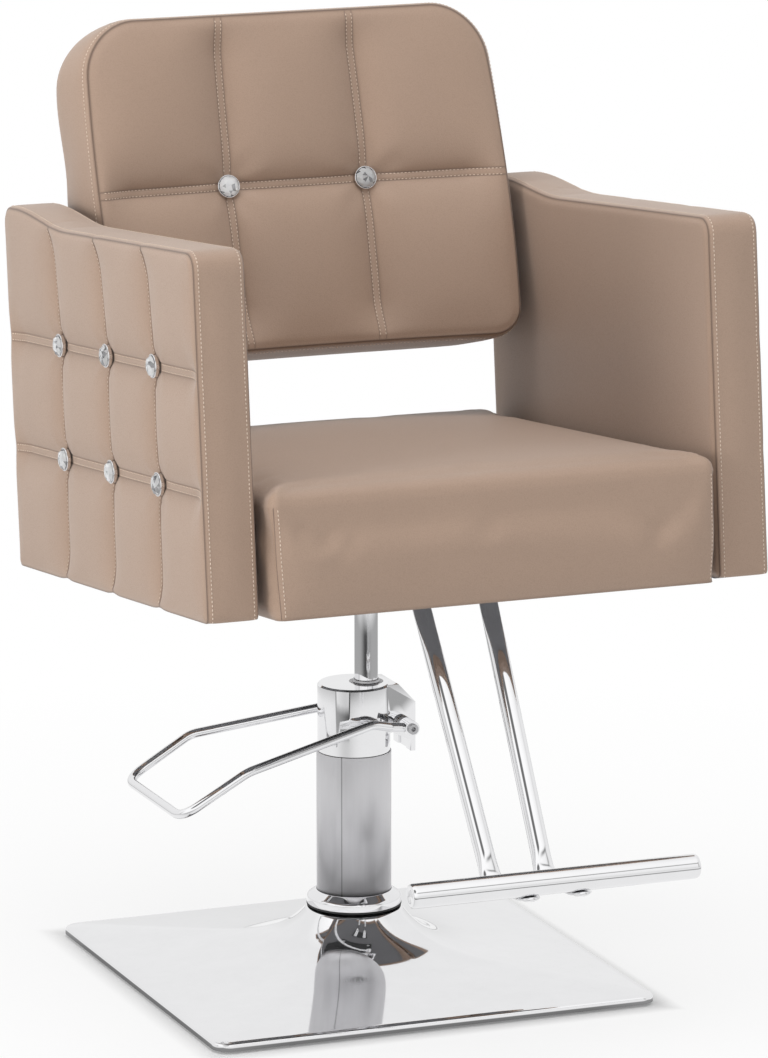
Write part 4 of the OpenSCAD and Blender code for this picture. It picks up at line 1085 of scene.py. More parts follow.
class CHAIR_OT_seat_cushion(Operator):
    """Make the seat cushion with its crowned top, drawn-in sides and sewn corners"""
    bl_idname = "chair.seat_cushion"
    bl_label = "Seat cushion"

    def execute(self, context):
        seat = seat_place()
        lines = [-seat.half_top, seat.half_top], [seat.front, seat.back]
        loose, close = (0.008, 0.014, 0.04), (0.0016, 0.007, 0.03)
        coarse = seat_skin(*(knots(line, *loose) for line in lines), np.linspace(0, 1, 10)[1:-1])
        held = held_points(coarse, np.full(coarse.x0.shape, False))
        shift = swell("seat_fill", coarse, held, 4 * MM)
        fine = seat_skin(*(knots(line, *close) for line in lines),
                         strip_places(seat.depth, 0.0022, 0.006, 0.02))
        fine.moved(coarse.carried(shift, fine))
        # The pad carries painted shade for its corner seams, lower edge and underside
        pad = make_object("seat_pad", fine.vertices(), fine.quads(), attribute=("crease", seat_seam_shade(fine)))
        wear(pad, leatherette(), BODY_SEAT, "taupe_cushion", "seat_cushion")
        sewing = make_object("seat_stitching", *stitches(seat_seams(fine)))
        wear(sewing, thread(), BODY_SEAT, "taupe_cushion")
        return {"FINISHED"}


def seat_corner_places(skin):
    """Loop numbers of the front edge just inside the two front corners, where the cover is sewn."""
    step = 6.5 * MM
    return (int(np.searchsorted(skin.us, skin.us[0] + step)),
            int(np.searchsorted(skin.us, skin.us[-1] - step)))


def seat_seam_shade(skin):
    """Painted shade in the seat's upright corner seams and along the lower edge, and a lighter painted shade
    over the whole underside.
    """
    loop_x = skin.x0[skin.loop]
    at_front = skin.loop[0] == 0
    corner_gap = np.where(at_front, np.minimum(loop_x - skin.us[0], skin.us[-1] - loop_x) - 1.5 * MM, 1.0)
    band = np.repeat(0.85 * mound(corner_gap, MM)[None], len(skin.ts), axis=0)
    low = 0.6 * mound((1 - skin.ts) * seat_place().depth, 2 * MM)[:, None]
    # Painted shade under the seat: the whole underside is darkened by 0.3
    under = np.full(skin.x0.size, 0.3)
    return np.concatenate([np.zeros(skin.x0.size), under, np.maximum(band, low).ravel()])


def seat_seams(skin):
    """Stitch lines beside the front corner seams."""
    return [(skin.band[:, number], np.repeat(skin.outward[number][None], len(skin.ts), axis=0))
            for number in seat_corner_places(skin)]


class CHAIR_OT_arm_pads(Operator):
    """Make both arm pads with their tufted outer faces, sewn bands and topstitched strips"""
    bl_idname = "chair.arm_pads"
    bl_label = "Arm pads"

    def execute(self, context):
        arm = arm_sizes()
        lines_y, lines_z = arm_lines()
        close = (0.0011, 0.007, 0.016)
        coarse = arm_skin(knots(lines_y, 0.007, 0.011, 0.03), knots(lines_z, 0.0045, 0.011, 0.03),
                          np.linspace(0, 1, 7)[1:-1])
        shift = swell("arm_fill", coarse, arm_sewn(coarse), 1.5 * MM)
        fine = arm_skin(knots(lines_y, *close), knots(lines_z, *close),
                        strip_places(arm.thick, 0.0009, 0.004, 0.012))
        fine.moved(coarse.carried(shift, fine))
        # Painted shade for the seams, the faces' rim and the strip's edges
        crease = arm_seam_shade(fine)
        seams = arm_seams(fine)
        upright = len(BUTTON_COLUMNS) * (len(BUTTON_ROWS) + 1)
        sunk, sunk_cells = stitches(seams[:upright], SUNK_STITCH_SIZE)
        sewing, cells = stitches(seams[upright:])
        cells = np.concatenate([sunk_cells, cells + len(sunk)])
        sewing = np.concatenate([sunk, sewing])
        for name, node, turn in (("left_arm", "left_arm_pad", False), ("right_arm", "right_arm_pad", True)):
            points, quads = fine.vertices(), fine.quads()
            thread_points, thread_cells = sewing, cells
            if turn:
                points, quads = mirrored(points), quads[:, ::-1]
                thread_points, thread_cells = mirrored(sewing), cells[:, ::-1]
            pad = make_object(name + "_cover", points, quads, attribute=("crease", crease))
            wear(pad, leatherette(), BODY_SEAT, "taupe_cushion", node)
            sewn = make_object(name + "_stitching", thread_points, thread_cells)
            wear(sewn, thread(), BODY_SEAT, "taupe_cushion")
        return {"FINISHED"}


def arm_seams(skin):
    """Stitch lines of an arm: beside the upright seams, then the bands' edges and the strip's edges."""
    arm = arm_sizes()
    clear, beside, from_edge, inside, in_strip, count = 14 * MM, 2.6 * MM, 4 * MM, 1.5 * MM, 5.5 * MM, 120
    first, second = BUTTON_ROWS
    heights = ((from_edge, first - clear), (first + clear, second - clear),
               (second + clear, arm.high - from_edge))
    paths = [straight_line(skin, (column + beside, low), (column + beside, high), count)
             for column in BUTTON_COLUMNS for low, high in heights]
    stops = [arm.front + from_edge, *[c + k for c in BUTTON_COLUMNS for k in (-clear, clear)],
             arm.back - from_edge]
    levels = [row + side * (arm.band - inside) for row in BUTTON_ROWS for side in (-1, 1)]
    paths += [straight_line(skin, (low, level), (high, level), count)
              for level in levels for low, high in zip(stops[::2], stops[1::2])]
    shown = np.concatenate([np.arange(skin.columns + skin.rows - 2, skin.band.shape[1]), [0]])
    for share in (in_strip / arm.thick, 1 - in_strip / arm.thick):
        row = int(np.abs(skin.ts - share).argmin())
        paths.append((skin.band[row][shown], skin.outward[shown]))
    return paths


class CHAIR_OT_backrest(Operator):
    """Make the backrest cushion with its six panels, its gusset and its rear panel"""
    bl_idname = "chair.backrest"
    bl_label = "Backrest"

    def execute(self, context):
        b = back_sizes()
        seams = [side * b.seam_x + edge * b.band for side in (-1, 1) for edge in (-1, 1)]
        lines_x = [-b.half, *seams, b.half]
        lines_z = [b.low, b.seam_z - b.band, b.seam_z + b.band, b.high]
        close, held_width, gusset = (0.0012, 0.007, 0.02), 5 * MM, 0.09
        coarse = back_skin(knots(lines_x, 0.008, 0.012, 0.03), knots(lines_z, 0.007, 0.012, 0.03),
                           np.linspace(0, 1, 8)[1:-1])
        at_seam = ((nearest(coarse.x0, [-b.seam_x, b.seam_x]) < held_width)
                   | (np.abs(coarse.z0 - b.seam_z) < held_width))
        shift = swell("back_fill", coarse, held_points(coarse, at_seam | (coarse.inset < MM)), 4 * MM)
        fine = back_skin(knots(lines_x, *close), knots(lines_z, *close),
                         strip_places(gusset, 0.0013, 0.006, 0.015))
        fine.moved(coarse.carried(shift, fine))
        # The cover carries painted shade for its seams, rim and gusset edges
        pad = make_object("backrest_cover", fine.vertices(), fine.quads(),
                          attribute=("crease", back_seam_shade(fine)))
        wear(pad, leatherette(), BODY_SEAT, "taupe_cushion", "backrest_cushion")
        sewing = make_object("backrest_stitching", *stitches(back_seams(fine)))
        wear(sewing, thread(), BODY_SEAT, "taupe_cushion")
        rear = softened("backrest_rear_panel", "backrest_rear_cover", 1.8 * MM, 4)
        wear(rear, leatherette(), BODY_SEAT, "taupe_panel", "backrest_rear_panel")
        return {"FINISHED"}


def back_seams(skin):
    """Stitch lines of the backrest: both sides of the upright seams and the cross seam, then the gusset."""
    b = back_sizes()
    clear, from_edge, beside, count = 15 * MM, 5 * MM, b.band - 0.8 * MM, 150
    edges = [seam + side * beside for seam in (-b.seam_x, b.seam_x) for side in (-1, 1)]
    heights = ((b.low + from_edge, b.seam_z - clear), (b.seam_z + clear, b.high - from_edge))
    paths = [straight_line(skin, (edge, low), (edge, high), count) for edge in edges for low, high in heights]
    stops = [-b.half + from_edge, -b.seam_x - clear, -b.seam_x + clear, b.seam_x - clear, b.seam_x + clear,
             b.half - from_edge]
    levels = [b.seam_z + side * beside for side in (-1, 1)]
    paths += [straight_line(skin, (low, level), (high, level), count)
              for level in levels for low, high in zip(stops[::2], stops[1::2])]
    paths = [(points, -normals) for points, normals in paths]
    row = int(np.abs(skin.ts * 0.07 - from_edge).argmin())
    around = np.concatenate([np.arange(skin.band.shape[1]), [0]])
    return paths + [(skin.band[row][around], skin.outward[around])]


class CHAIR_OT_buttons(Operator):
    """Make the crystal buttons: chromed cups, mirror foils and cut stones"""
    bl_idname = "chair.buttons"
    bl_label = "Crystal buttons"

    def execute(self, context):
        def at_buttons(shape):
            """One copy of a shape on each button's place, joined."""
            return joined([placed_at(shape, place, outward) for place, outward in button_places()])

        r, wall, gap = metal().button_r, 1.4 * MM, 1.0 * MM
        cup = closed_profile((AXIS, 0.0, 0), (r - 0.0008, 0.0, 0.0005), (r, 0.0012, 0.0006),
                             (r, 0.0042, 0.0005), (r - 0.0005, 0.0048, 0.0004), (r - 0.0011, 0.0046, 0.0003),
                             (r - wall, 0.0030, 0.0002), (r - 0.0022, 0.0022, 0.0003), (AXIS, 0.0022, 0))
        cups = make_object("button_cups", *at_buttons(lathe(cup, 64)))
        wear(cups, chrome(), BODY_SEAT, "chrome", "button_rims")
        placed = at_buttons(cut_stone(r - wall))
        # Painted reflection: about one facet in five is painted dark, as if it returned no light: its draw is
        # below the share
        draw, dark_share = np.random.default_rng(11).random(len(placed[1])), 0.22
        shine = np.where(draw < dark_share, 0.1 + 1.6 * draw, 0.82 + 0.18 * draw)
        stones = make_object("button_stones", *placed, smooth=False, attribute=("facet", shine))
        wear(stones, crystal(), BODY_SEAT, "crystal", "button_crystals")
        foils = make_object("button_foils", *at_buttons(foil_shape(r - wall - gap)), smooth=False)
        wear(foils, foil(), BODY_SEAT, "chrome")
        return {"FINISHED"}


def ring_at(r, angle, z):
    """Points at radius r, at some angles and at one height or one for each."""
    return np.stack([r * np.cos(angle), r * np.sin(angle), np.broadcast_to(z, angle.shape)], axis=1)


def cut_stone(r):
    """A round cut: rings of 16, 16, 8 and 8 points, and a table parted where the back shows through."""
    low, girdle, middle, table = 0.0036, 0.0054, 0.0080, 0.0090
    sixteen, eight = circle(16), circle(8)
    points = np.concatenate([ring_at(r * 0.96, sixteen, low), ring_at(r, sixteen, girdle),
                             ring_at(r * 0.80, eight, middle), ring_at(r * 0.52, eight + math.pi / 8, table),
                             [[0.12 * r, 0.08 * r, table]]])
    faces = [list(range(15, -1, -1))]
    faces += [[k, (k + 1) % 16, 16 + (k + 1) % 16, 16 + k] for k in range(16)]
    for k in range(8):
        outer, after, before = 16 + 2 * k, 16 + 2 * k + 1, 16 + (2 * k + 15) % 16
        faces += [[outer, after, 32 + k], [before, outer, 32 + k], [32 + k, after, 32 + (k + 1) % 8, 40 + k],
                  [32 + k, 40 + k, 40 + (k + 7) % 8]]
    faces += [[40 + k, 40 + (k + 1) % 8, 48] for k in range(8)]
    return points, faces


def foil_shape(r):
    """The mirror under a stone: a star of sixteen creased facets, over a flat back that is 0.8 mm lower."""
    angle, thick = circle(32), 0.8 * MM
    outer = ring_at(r, angle, np.where(np.arange(32) % 2, 0.0035, 0.0031))
    inner = ring_at(0.5 * r, angle[::2] + math.pi / 32, np.where(np.arange(16) % 2, 0.0027, 0.0034))
    points = np.concatenate([outer, inner, [[0, 0, 0.0024]], outer - [0, 0, thick], [[0, 0, 0.0016]]])
    faces = []
    for k in range(16):
        a, b, c = 2 * k, 2 * k + 1, (2 * k + 2) % 32
        here, after = 32 + k, 32 + (k + 1) % 16
        faces += [[a, b, here], [b, c, here], [c, after, here], [here, after, 48]]
    for k in range(32):
        after = (k + 1) % 32
        faces += [[49 + k, 49 + after, after, k], [81, 49 + after, 49 + k]]
    return points, faces


# Metal pieces

def square_ring(n, corner_share):
    """Points once round a unit square of rounded corners, n on each straight and n on each corner."""
    end = 1 - corner_share
    straight = np.stack([np.ones(n), np.linspace(-end, end, n, endpoint=False)], axis=1)
    angle = np.linspace(0, math.pi / 2, n, endpoint=False)
    corner = end + corner_share * np.stack([np.cos(angle), np.sin(angle)], axis=1)
    quarter = np.concatenate([straight, corner])
    turns = [quarter @ np.array([[c, s], [-s, c]]) for c, s in ((1, 0), (0, 1), (-1, 0), (0, -1))]
    return np.concatenate(turns)


def base_rise(size):
    """Height of the shell's top: lip + (neck - lip) (0.4 t + 0.6 t^8).

    t goes from 0 at the rim to 1 at the neck."""
    m = metal()
    t = np.clip((m.base_side / 2 - size) / (m.base_side / 2 - m.neck_r), 0, 1)
    return m.lip_top + (m.neck_top - m.lip_top) * (0.4 * t + 0.6 * t ** 8)


class CHAIR_OT_base(Operator):
    """Make the chromed base shell as one smooth skin"""
    bl_idname = "chair.base"
    bl_label = "Base"

    def execute(self, context):
        m = metal()
        half, wall, lip_r, top_edge = m.base_side / 2, 1.6 * MM, 3.2 * MM, 4.5 * MM
        rows, per_side = 60, 36
        square = square_ring(per_side, m.base_corner / half)
        # The section from the lip's foot over the lip and up to the neck, then back down inside
        sizes = half - top_edge - (half - top_edge - m.neck_r) * np.linspace(0, 1, rows)
        lip_angle = np.linspace(0, math.pi / 2, 8)
        lip_size = half - lip_r * (1 - np.cos(lip_angle))
        lip_z = m.lip_top - lip_r * (1 - np.sin(lip_angle))
        inside = sizes[::-4]
        size = np.concatenate([[half], lip_size, sizes, inside - 0.3 * wall, [half - wall, half - wall]])
        z = np.concatenate([[m.lip_low], lip_z, base_rise(sizes), base_rise(inside) - wall,
                            [m.lip_top - 3 * MM, m.lip_low]])
        # Square at the lip, round at the neck
        share = np.clip((size - m.neck_r) / (half - m.neck_r), 0, 1) ** 0.7
        share = np.where(size > half - 5 * MM, 1.0, share)[:, None, None]
        flat = size[:, None, None] * (unit(square) * (1 - share) + square * share)
        points = np.concatenate([flat, np.broadcast_to(z[:, None, None], flat.shape[:2] + (1,))], axis=-1)
        shell = make_object("base_skin", points.reshape(-1, 3), wrapped_quads(*points.shape[:2]))
        wear(shell, chrome(), BODY_BASE, "chrome", "base_shell")
        return {"FINISHED"}


class CHAIR_OT_column(Operator):
    """Make the collar, gasket, sleeve, pump head, wiper and ram as smooth turned pieces"""
    bl_idname = "chair.column"
    bl_label = "Column"

    def execute(self, context):
        m = metal()
        low, bore, wide = m.neck_top + 1.5 * MM, m.sleeve_r + 0.2 * MM, 0.0502
        collar = closed_profile((bore, low, 0), (0.0496, low, 0.0004), (wide, low + 0.0008, 0.0006),
                                (wide, low + 0.0076, 0.0012), (0.0487, low + 0.0095, 0.0012),
                                (0.0418, low + 0.0142, 0.0012), (0.0406, low + 0.0150, 0.0006),
                                (bore, low + 0.0150, 0))
        wear(make_object("collar", *lathe(collar)), chrome(), BODY_BASE, "chrome", "column_collar")
        gasket = closed_profile((0.040, m.neck_top, 0), (0.0504, m.neck_top, 0.0005), (0.0504, low, 0.0005),
                                (0.040, low, 0))
        wear(make_object("gasket", *lathe(gasket)), rubber(), BODY_BASE, "black_rubber", "collar_gasket")
        inside = m.sleeve_r - 2 * MM
        sleeve = closed_profile((inside, low, 0), (m.sleeve_r, low, 0), (m.sleeve_r, m.sleeve_top, 0.0006),
                                (inside, m.sleeve_top, 0))
        wear(make_object("sleeve", *lathe(sleeve)), satin(), BODY_BASE, "satin_sleeve", "column_sleeve")
        head = softened("pump_head", "pump_head_cast", 1.1 * MM, 3)
        wear(head, chrome(), BODY_BASE, "chrome", "pump_head")
        rod_low, rod_high, stub_low, stub_r = 0.174, 0.443, 0.145, 0.008
        rod = closed_profile((AXIS, rod_low, 0), (m.ram_r, rod_low, 0.0005), (m.ram_r, rod_high, 0.0005),
                             (AXIS, rod_high, 0))
        stub = closed_profile((AXIS, stub_low, 0), (stub_r, stub_low, 0.0005), (stub_r, rod_low + 0.0005, 0),
                              (AXIS, rod_low + 0.0005, 0))
        centre = (seat_place().ram_x, 0.0)
        ram = joined([lathe(rod, 96, centre), lathe(stub, 64, centre)])
        wear(make_object("ram", *ram), chrome(), BODY_SEAT, "chrome", "ram_rod")
        wiper = closed_profile((0.0124, 0.306, 0), (0.0169, 0.306, 0), (0.0169, 0.3129, 0),
                               (0.0182, 0.3141, 0.0001), (0.0144, 0.3142, 0.0003), (0.0140, 0.3168, 0.0006),
                               (0.0124, 0.317, 0.0004))
        wear(make_object("wiper", *lathe(wiper, 96, centre)), steel(), BODY_BASE, "steel", "wiper_seal")
        return {"FINISHED"}


def pedal_corners():
    """Corners of the pedal's loop from the near boss to the far one."""
    m = metal()
    near = np.array([(m.shaft_x - 5.3 * MM, 0.043, m.shaft_z), (0.024, 0.044, m.shaft_z + 2 * MM),
                     (0.002, 0.050, m.shaft_z + 8 * MM), (-0.152, 0.087, 0.251), (-m.reach, 0.084, 0.209)])
    return np.concatenate([near, near[::-1] * (1, -1, 1)])


class CHAIR_OT_pedal(Operator):
    """Make the pedal's bent rod, its bosses, screws and return spring"""
    bl_idname = "chair.pedal"
    bl_label = "Pump pedal"

    def execute(self, context):
        m = metal()
        near = [0.012, 0.030, 0.034, 0.022]
        path = bent_path(pedal_corners(), near + near[::-1], 2 * MM)[0]
        thick = np.full(len(path), m.pedal_r)
        rod = make_object("pedal_loop", *swept(path, thick, thick, np.array([0.33, 0.0, 1.0]), 32))
        wear(rod, chrome(), BODY_PEDAL, "chrome", "pedal_rod")
        eyes = softened("pedal_bosses", "pedal_eyes", 0.7 * MM, 3)
        wear(eyes, chrome(), BODY_PEDAL, "chrome", "pedal_bosses")
        screws = softened("pedal_screws", "pedal_socket_screws", 0.3 * MM)
        wear(screws, steel(), BODY_PEDAL, "steel", "pedal_screws")
        box_low, box_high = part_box("pedal_spring")
        turns, wire, coil_r, count = 2.5, 0.8 * MM, 7.2 * MM, 121
        angle = np.linspace(0, 2 * math.pi * turns, count)
        y = np.linspace(box_low.y + wire, box_high.y - wire, count)
        coil = np.stack([m.shaft_x + coil_r * np.cos(angle), y, m.shaft_z + coil_r * np.sin(angle)], axis=1)
        thin = np.full(len(coil), wire)
        spring = make_object("return_spring", *swept(coil, thin, thin, np.array([0.0, 1.0, 0.0]), 12))
        wear(spring, steel(), BODY_PEDAL, "steel", "pedal_spring")
        return {"FINISHED"}


def leg_path():
    """One leg's line, half width and half thickness: flat under the plate, round, flat under the bar.

    Each flat end is a ramp from 0 to 1 along the leg that widens and thins it. The toe's last 10 mm taper."""
    m = metal()
    top, top_blend, top_reach, top_edge = 0.066, 0.022, 0.046, 0.018
    foot, foot_blend, foot_reach, toe, toe_share = 0.100, 0.030, 0.045, 0.010, 0.25
    corners = [(0.037, -0.172, 0.0009), (0.037, -0.238, 0.0009), (0.0288, -0.391, -0.2793),
               (0.0274, -0.491, -0.2793)]
    path, run = bent_path(corners, [0.022, 0.030], 2 * MM)
    end = run[-1]
    flat_top = 1 - ramp((run - top - top_blend) / top_reach)
    flat_foot = ramp((run - (end - foot) + foot_blend) / foot_reach)
    wide = (m.leg_r + 0.7 * MM * flat_top + 1.8 * MM * (1 - ramp((run - top) / top_edge))
            + 3.0 * MM * flat_foot)
    high = m.leg_r - flat_top * 6.4 * MM - flat_foot * (m.leg_r - 2.2 * MM)
    taper = np.sqrt(np.clip((end - run) / toe, 0.0, 1.0)) * (1 - toe_share) + toe_share
    return path, wide * taper, high


class CHAIR_OT_footrest(Operator):
    """Make the footrest: two tube legs with flattened ends, a round bar with end caps and its black screws"""
    bl_idname = "chair.footrest"
    bl_label = "Footrest"

    def execute(self, context):
        m = metal()
        points, faces = swept(*leg_path(), np.array([1.0, 0.0, 0.0]), 40, 2.4)
        legs = ((1, "leg_left", "footrest_leg_left"), (-1, "leg_right", "footrest_leg_right"))
        for side, name, node in legs:
            outward = faces if side > 0 else [face[::-1] for face in faces]
            leg = make_object(name, seated(points * (side, 1, 1)), outward)
            wear(leg, chrome(), BODY_SEAT, "chrome", node)
        half, r, cap, narrow = m.bar_half, m.bar_r, 3 * MM, 1.2 * MM
        bar = closed_profile((AXIS, -half, 0), (r - narrow, -half, 0.0012), (r, -half + cap, 0.0018),
                             (r, half - cap, 0.0018), (r - narrow, half, 0.0012), (AXIS, half, 0), step=8)
        centre = seated(np.array([0.0, -0.4828, -0.2646]))
        obj = make_object("foot_bar", *placed_at(lathe(bar, 96), centre, (1, 0, 0)))
        wear(obj, chrome(), BODY_SEAT, "chrome", "footrest_bar", "footrest_end_caps")
        screws = softened("footrest_bar_screws", "bar_screws", 0.4 * MM)
        wear(screws, black_paint(), BODY_SEAT, "black_paint", "footrest_bar_screws")
        return {"FINISHED"}


class CHAIR_OT_frame_pieces(Operator):
    """Give every frame piece that still shows its own finish"""
    bl_idname = "chair.frame_pieces"
    bl_label = "Frame pieces"

    def execute(self, context):
        slots = {part["node"]: part["material_slot"] for part in frame["record"]["subparts"]}
        for name, obj in frame["nodes"].items():
            if obj.hide_render:
                continue
            obj.data.materials.clear()
            obj.data.materials.append(FRAME_FINISHES[slots[name]]())
        return {"FINISHED"}


# Stage

# Name, place, target, side and power of each lamp
LAMPS = (("key", (-4.4, -0.9, 1.3), (0, 0, 0.6), 2.0, 112),
         ("front", (0.6, -4.6, 2.0), (0, 0, 0.5), 2.4, 42),
         ("top", (-0.3, -0.4, 4.4), (0, 0, 0.4), 2.6, 92))


def area_light(name, place, target, size, power):
    """A soft square lamp that faces a point."""
    data = bpy.data.lights.new(name, "AREA")
    data.shape, data.size, data.energy = "SQUARE", size, power
    lamp = bpy.data.objects.new(name, data)
    lamp.location = place
    lamp.visible_glossy = False
    lamp.rotation_euler = (Vector(target) - Vector(place)).to_track_quat("-Z", "Y").to_euler()
    bpy.context.scene.collection.objects.link(lamp)


class CHAIR_OT_stage(Operator):
    """Set the floor, the studio light and the camera"""
    bl_idname = "chair.stage"
    bl_label = "Stage"

    def execute(self, context):
        scene = context.scene
        values = scene.chair_stage
        half = values.floor / 2
        corners = np.array([(-1, -1, 0), (1, -1, 0), (1, 1, 0), (-1, 1, 0)]) * half
        floor = make_object("floor", corners, [[0, 1, 2, 3]])
        studio_world(scene)
        floor.data.materials.append(floor_finish())
        for lamp in LAMPS:
            area_light(*lamp)
        camera_data = bpy.data.cameras.new("camera")
        camera_data.sensor_fit, camera_data.sensor_width, camera_data.sensor_height = "AUTO", 36.0, 36.0
        camera_data.lens, camera_data.clip_end = values.lens, 60.0
        camera = bpy.data.objects.new("camera", camera_data)
        scene.collection.objects.link(camera)
        a, e = values.azimuth, values.elevation
        back = Vector((math.sin(a) * math.cos(e), -math.cos(a) * math.cos(e), math.sin(e)))
        right = Vector((math.cos(a), math.sin(a), 0.0))
        turn = Matrix((right, back.cross(right), back)).transposed()
        place = Matrix.Translation(Vector(values.target) + back * values.distance)
        camera.matrix_world = place @ turn.to_4x4()
        scene.camera = camera
        scene.view_settings.view_transform = "Standard"
        return {"FINISHED"}


def bell(g, value, centre, width, depth):
    """depth exp(-((value - centre) / width)^2)"""
    q = g.math("DIVIDE", g.math("SUBTRACT", value, centre), width)
    return g.math("MULTIPLY", g.math("EXPONENT", g.math("MULTIPLY", g.math("MULTIPLY", q, q), -1.0)), depth)


def around_viewer(g, vector):
    """Angle round from the viewer's side, in radians, and height, of a direction or a place on the floor."""
    viewer = 1.9485
    split = g.add("ShaderNodeSeparateXYZ", Vector=vector)
    around = g.math("ARCTAN2", split.outputs["Y"], split.outputs["X"])
    return g.math("WRAP", g.math("ADD", around, viewer), math.pi, -math.pi), split.outputs["Z"]


@effect("Studio cloths", Vector=(0.0, 0.0, 0.0))
def cloths_group(g, given):
    """What mirrors see above the floor: a pale studio with a bright ceiling toward the viewer, a dark panel
    in it, two dark cloths and a dark rail.

    Brightness = (0.92 + ceiling) (1 - panel - cloths - rail)."""
    ceiling = (-0.386, -0.457, 0.801)
    # Angle, width and depth of each cloth
    cloths = ((1.15, 0.12, 0.5), (-1.3, 0.10, 0.4))
    angle, height = around_viewer(g, given["Vector"])
    toward = g.add("ShaderNodeVectorMath", {"operation": "DOT_PRODUCT"}, n0=given["Vector"],
                   n1=ceiling).outputs["Value"]
    pale = g.math("ADD", g.spread(toward, 0.35, 0.8, 0.92, 1.14), g.spread(height, 0.0, 0.2, -0.1, 0.0))
    total = g.spread(toward, 0.940, 0.975, 0.0, 0.84)
    low = g.spread(height, 0.45, 0.7, 1.0, 0.0)
    for cloth in cloths:
        total = g.math("ADD", total, g.math("MULTIPLY", bell(g, angle, *cloth), low))
    rail = g.math("MULTIPLY", bell(g, height, 0.58, 0.05, 0.7), bell(g, angle, 0.85, 0.5, 1.0))
    shade = g.math("ADD", total, rail, clamp=True)
    return {"Brightness": g.math("MULTIPLY", pale, g.math("SUBTRACT", 1.0, shade))}


@finish("Pale floor")
def floor_finish(g, shader, place):
    """Pale floor: the camera sees it mostly as plain white, so that shadows stay light.

    Mirrors see a painted reflection: white near the chair and dimmer toward the viewer, with a dark ring from
    1.4 to 2 m out, and a painted contact shadow in grey right by the base."""
    shader.inputs["Base Color"].default_value = (0.86, 0.86, 0.86, 1)
    shader.inputs["Roughness"].default_value = 0.8
    rays = g.add("ShaderNodeLightPath").outputs
    # Distance from the middle, and from the middle lines of the square base
    far = g.add("ShaderNodeVectorMath", {"operation": "LENGTH"}, n0=place).outputs["Value"]
    split = g.add("ShaderNodeSeparateXYZ", Vector=place)
    beside = g.math("MAXIMUM", g.math("ABSOLUTE", split.outputs["X"]), g.math("ABSOLUTE", split.outputs["Y"]))
    # Less white near the chair and beside its base, so that the shadow shows
    white_share = g.math("MULTIPLY", g.spread(far, 0.4, 1.3, 0.80, 1.0),
                         g.spread(beside, 0.247, 0.268, 0.2, 1.0))
    seen = g.math("MAXIMUM", g.math("MULTIPLY", rays["Is Camera Ray"], white_share),
                  g.math("MULTIPLY", rays["Is Transmission Ray"], white_share))
    seen = g.math("MAXIMUM", seen, rays["Is Glossy Ray"])
    # What mirrors see, a painted reflection: near and dark tones round the chair, a dark ring, and a painted
    # contact shadow in grey right by the base
    angle = around_viewer(g, place)[0]
    near = g.math("SUBTRACT", 0.93, bell(g, angle, -0.42, 0.45, 0.24))
    dark = g.math("SUBTRACT", 0.42, bell(g, angle, -0.09, 0.58, 0.35))
    ring = g.math("MULTIPLY", g.spread(far, 1.22, 1.36), g.spread(far, 1.95, 2.4, 1.0, 0.0))
    tone = g.math("MULTIPLY_ADD", ring, g.math("SUBTRACT", dark, near), near)
    # Painted contact shadow: grey right beside the base's sides, seen only in mirrors
    under = g.mix(g.spread(beside, 0.252, 0.262), (0.2, 0.2, 0.2, 1), (0.96, 0.96, 0.96, 1))
    mirrored_floor = g.mix(g.spread(far, 0.3, 0.6), under, tone)
    colour = g.mix(rays["Is Glossy Ray"], (1, 1, 1, 1), mirrored_floor)
    white = g.add("ShaderNodeEmission", Color=colour, Strength=1.0)
    blend = g.add("ShaderNodeMixShader", n0=seen, n1=shader.outputs[0], n2=white.outputs[0])
    g.feed(g.tree.nodes["Material Output"].inputs["Surface"], blend.outputs[0])


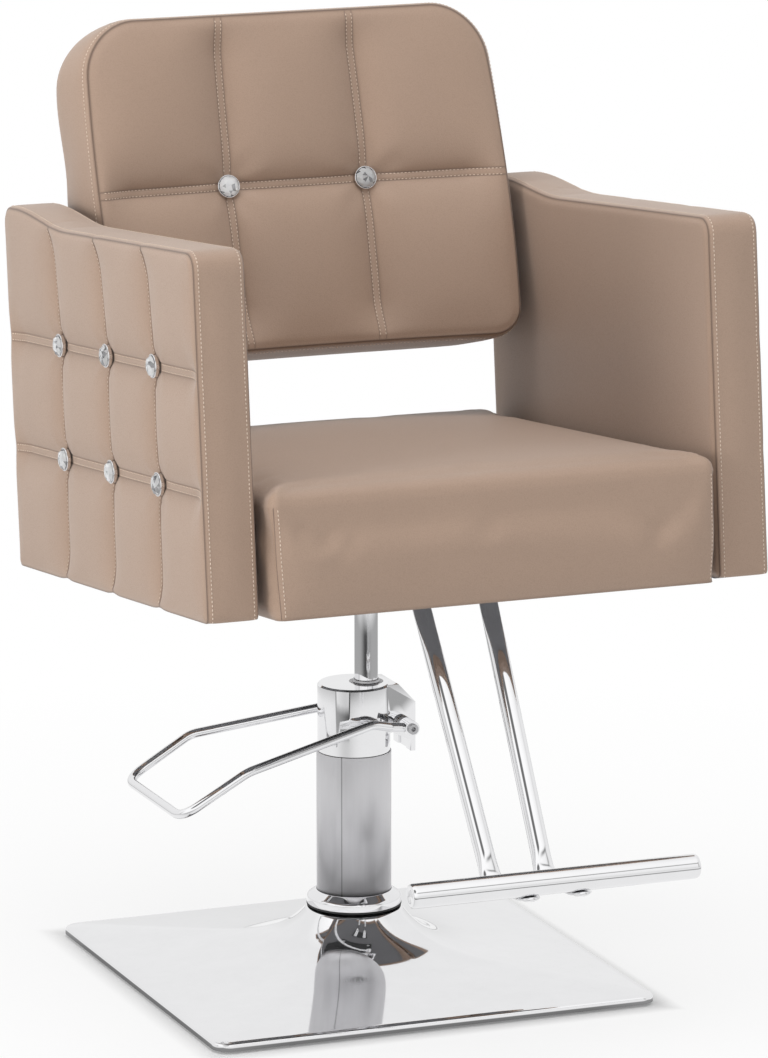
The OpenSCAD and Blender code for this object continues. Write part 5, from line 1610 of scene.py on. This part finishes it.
def studio_world(scene):
    """White where the camera looks, even soft grey for light, and the studio cloths for mirrors."""
    world = bpy.data.worlds.new("Studio")
    scene.world = world
    world.use_nodes = True
    g = Graph(world.node_tree)
    ground = world.node_tree.nodes["Background"]
    ground.inputs["Color"].default_value = (1, 1, 1, 1)
    ground.inputs["Strength"].default_value = 0.50
    rays = g.add("ShaderNodeLightPath").outputs
    cloths = g.group(cloths_group(), Vector=g.add("ShaderNodeTexCoord").outputs["Generated"])
    mirror = g.add("ShaderNodeBackground", Color=(1, 1, 1, 1), Strength=cloths["Brightness"])
    white = g.add("ShaderNodeBackground", Color=(1, 1, 1, 1), Strength=1.0)
    first = g.add("ShaderNodeMixShader", n0=rays["Is Glossy Ray"], n1=ground.outputs[0], n2=mirror.outputs[0])
    seen = g.math("MAXIMUM", rays["Is Camera Ray"], rays["Is Transmission Ray"])
    last = g.add("ShaderNodeMixShader", n0=seen, n1=first.outputs[0], n2=white.outputs[0])
    g.feed(world.node_tree.nodes["World Output"].inputs["Surface"], last.outputs[0])


class CHAIR_PT_panel(Panel):
    """Lists the chair's pieces"""
    bl_idname = "CHAIR_PT_panel"
    bl_label = "Salon chair"
    bl_space_type = "VIEW_3D"
    bl_region_type = "UI"
    bl_category = "Chair"

    def draw(self, context):
        for operator in OPERATORS:
            self.layout.operator(operator.bl_idname)
        for name in GROUPS:
            values = getattr(context.scene, name)
            column = self.layout.column(heading=name.replace("_", " ").capitalize())
            for key in values.__annotations__:
                column.prop(values, key)


OPERATORS = (CHAIR_OT_stage, CHAIR_OT_seat_cushion, CHAIR_OT_arm_pads, CHAIR_OT_backrest, CHAIR_OT_buttons,
             CHAIR_OT_base, CHAIR_OT_column, CHAIR_OT_pedal, CHAIR_OT_footrest, CHAIR_OT_frame_pieces)


def register():
    """Adds the groups, the operators and the panel."""
    for group in GROUPS.values():
        bpy.utils.register_class(group)
    for name, group in GROUPS.items():
        setattr(bpy.types.Scene, name, PointerProperty(type=group))
    for operator in OPERATORS:
        bpy.utils.register_class(operator)
    bpy.utils.register_class(CHAIR_PT_panel)


def unregister():
    """Takes out what register added."""
    bpy.utils.unregister_class(CHAIR_PT_panel)
    for operator in reversed(OPERATORS):
        bpy.utils.unregister_class(operator)
    for name, group in GROUPS.items():
        delattr(bpy.types.Scene, name)
        bpy.utils.unregister_class(group)


def main():
    """Makes every piece, one operator after the other."""
    register()
    for operator in OPERATORS:
        area, name = operator.bl_idname.split(".")
        getattr(getattr(bpy.ops, area), name)()


if __name__ == "__main__":
    main()
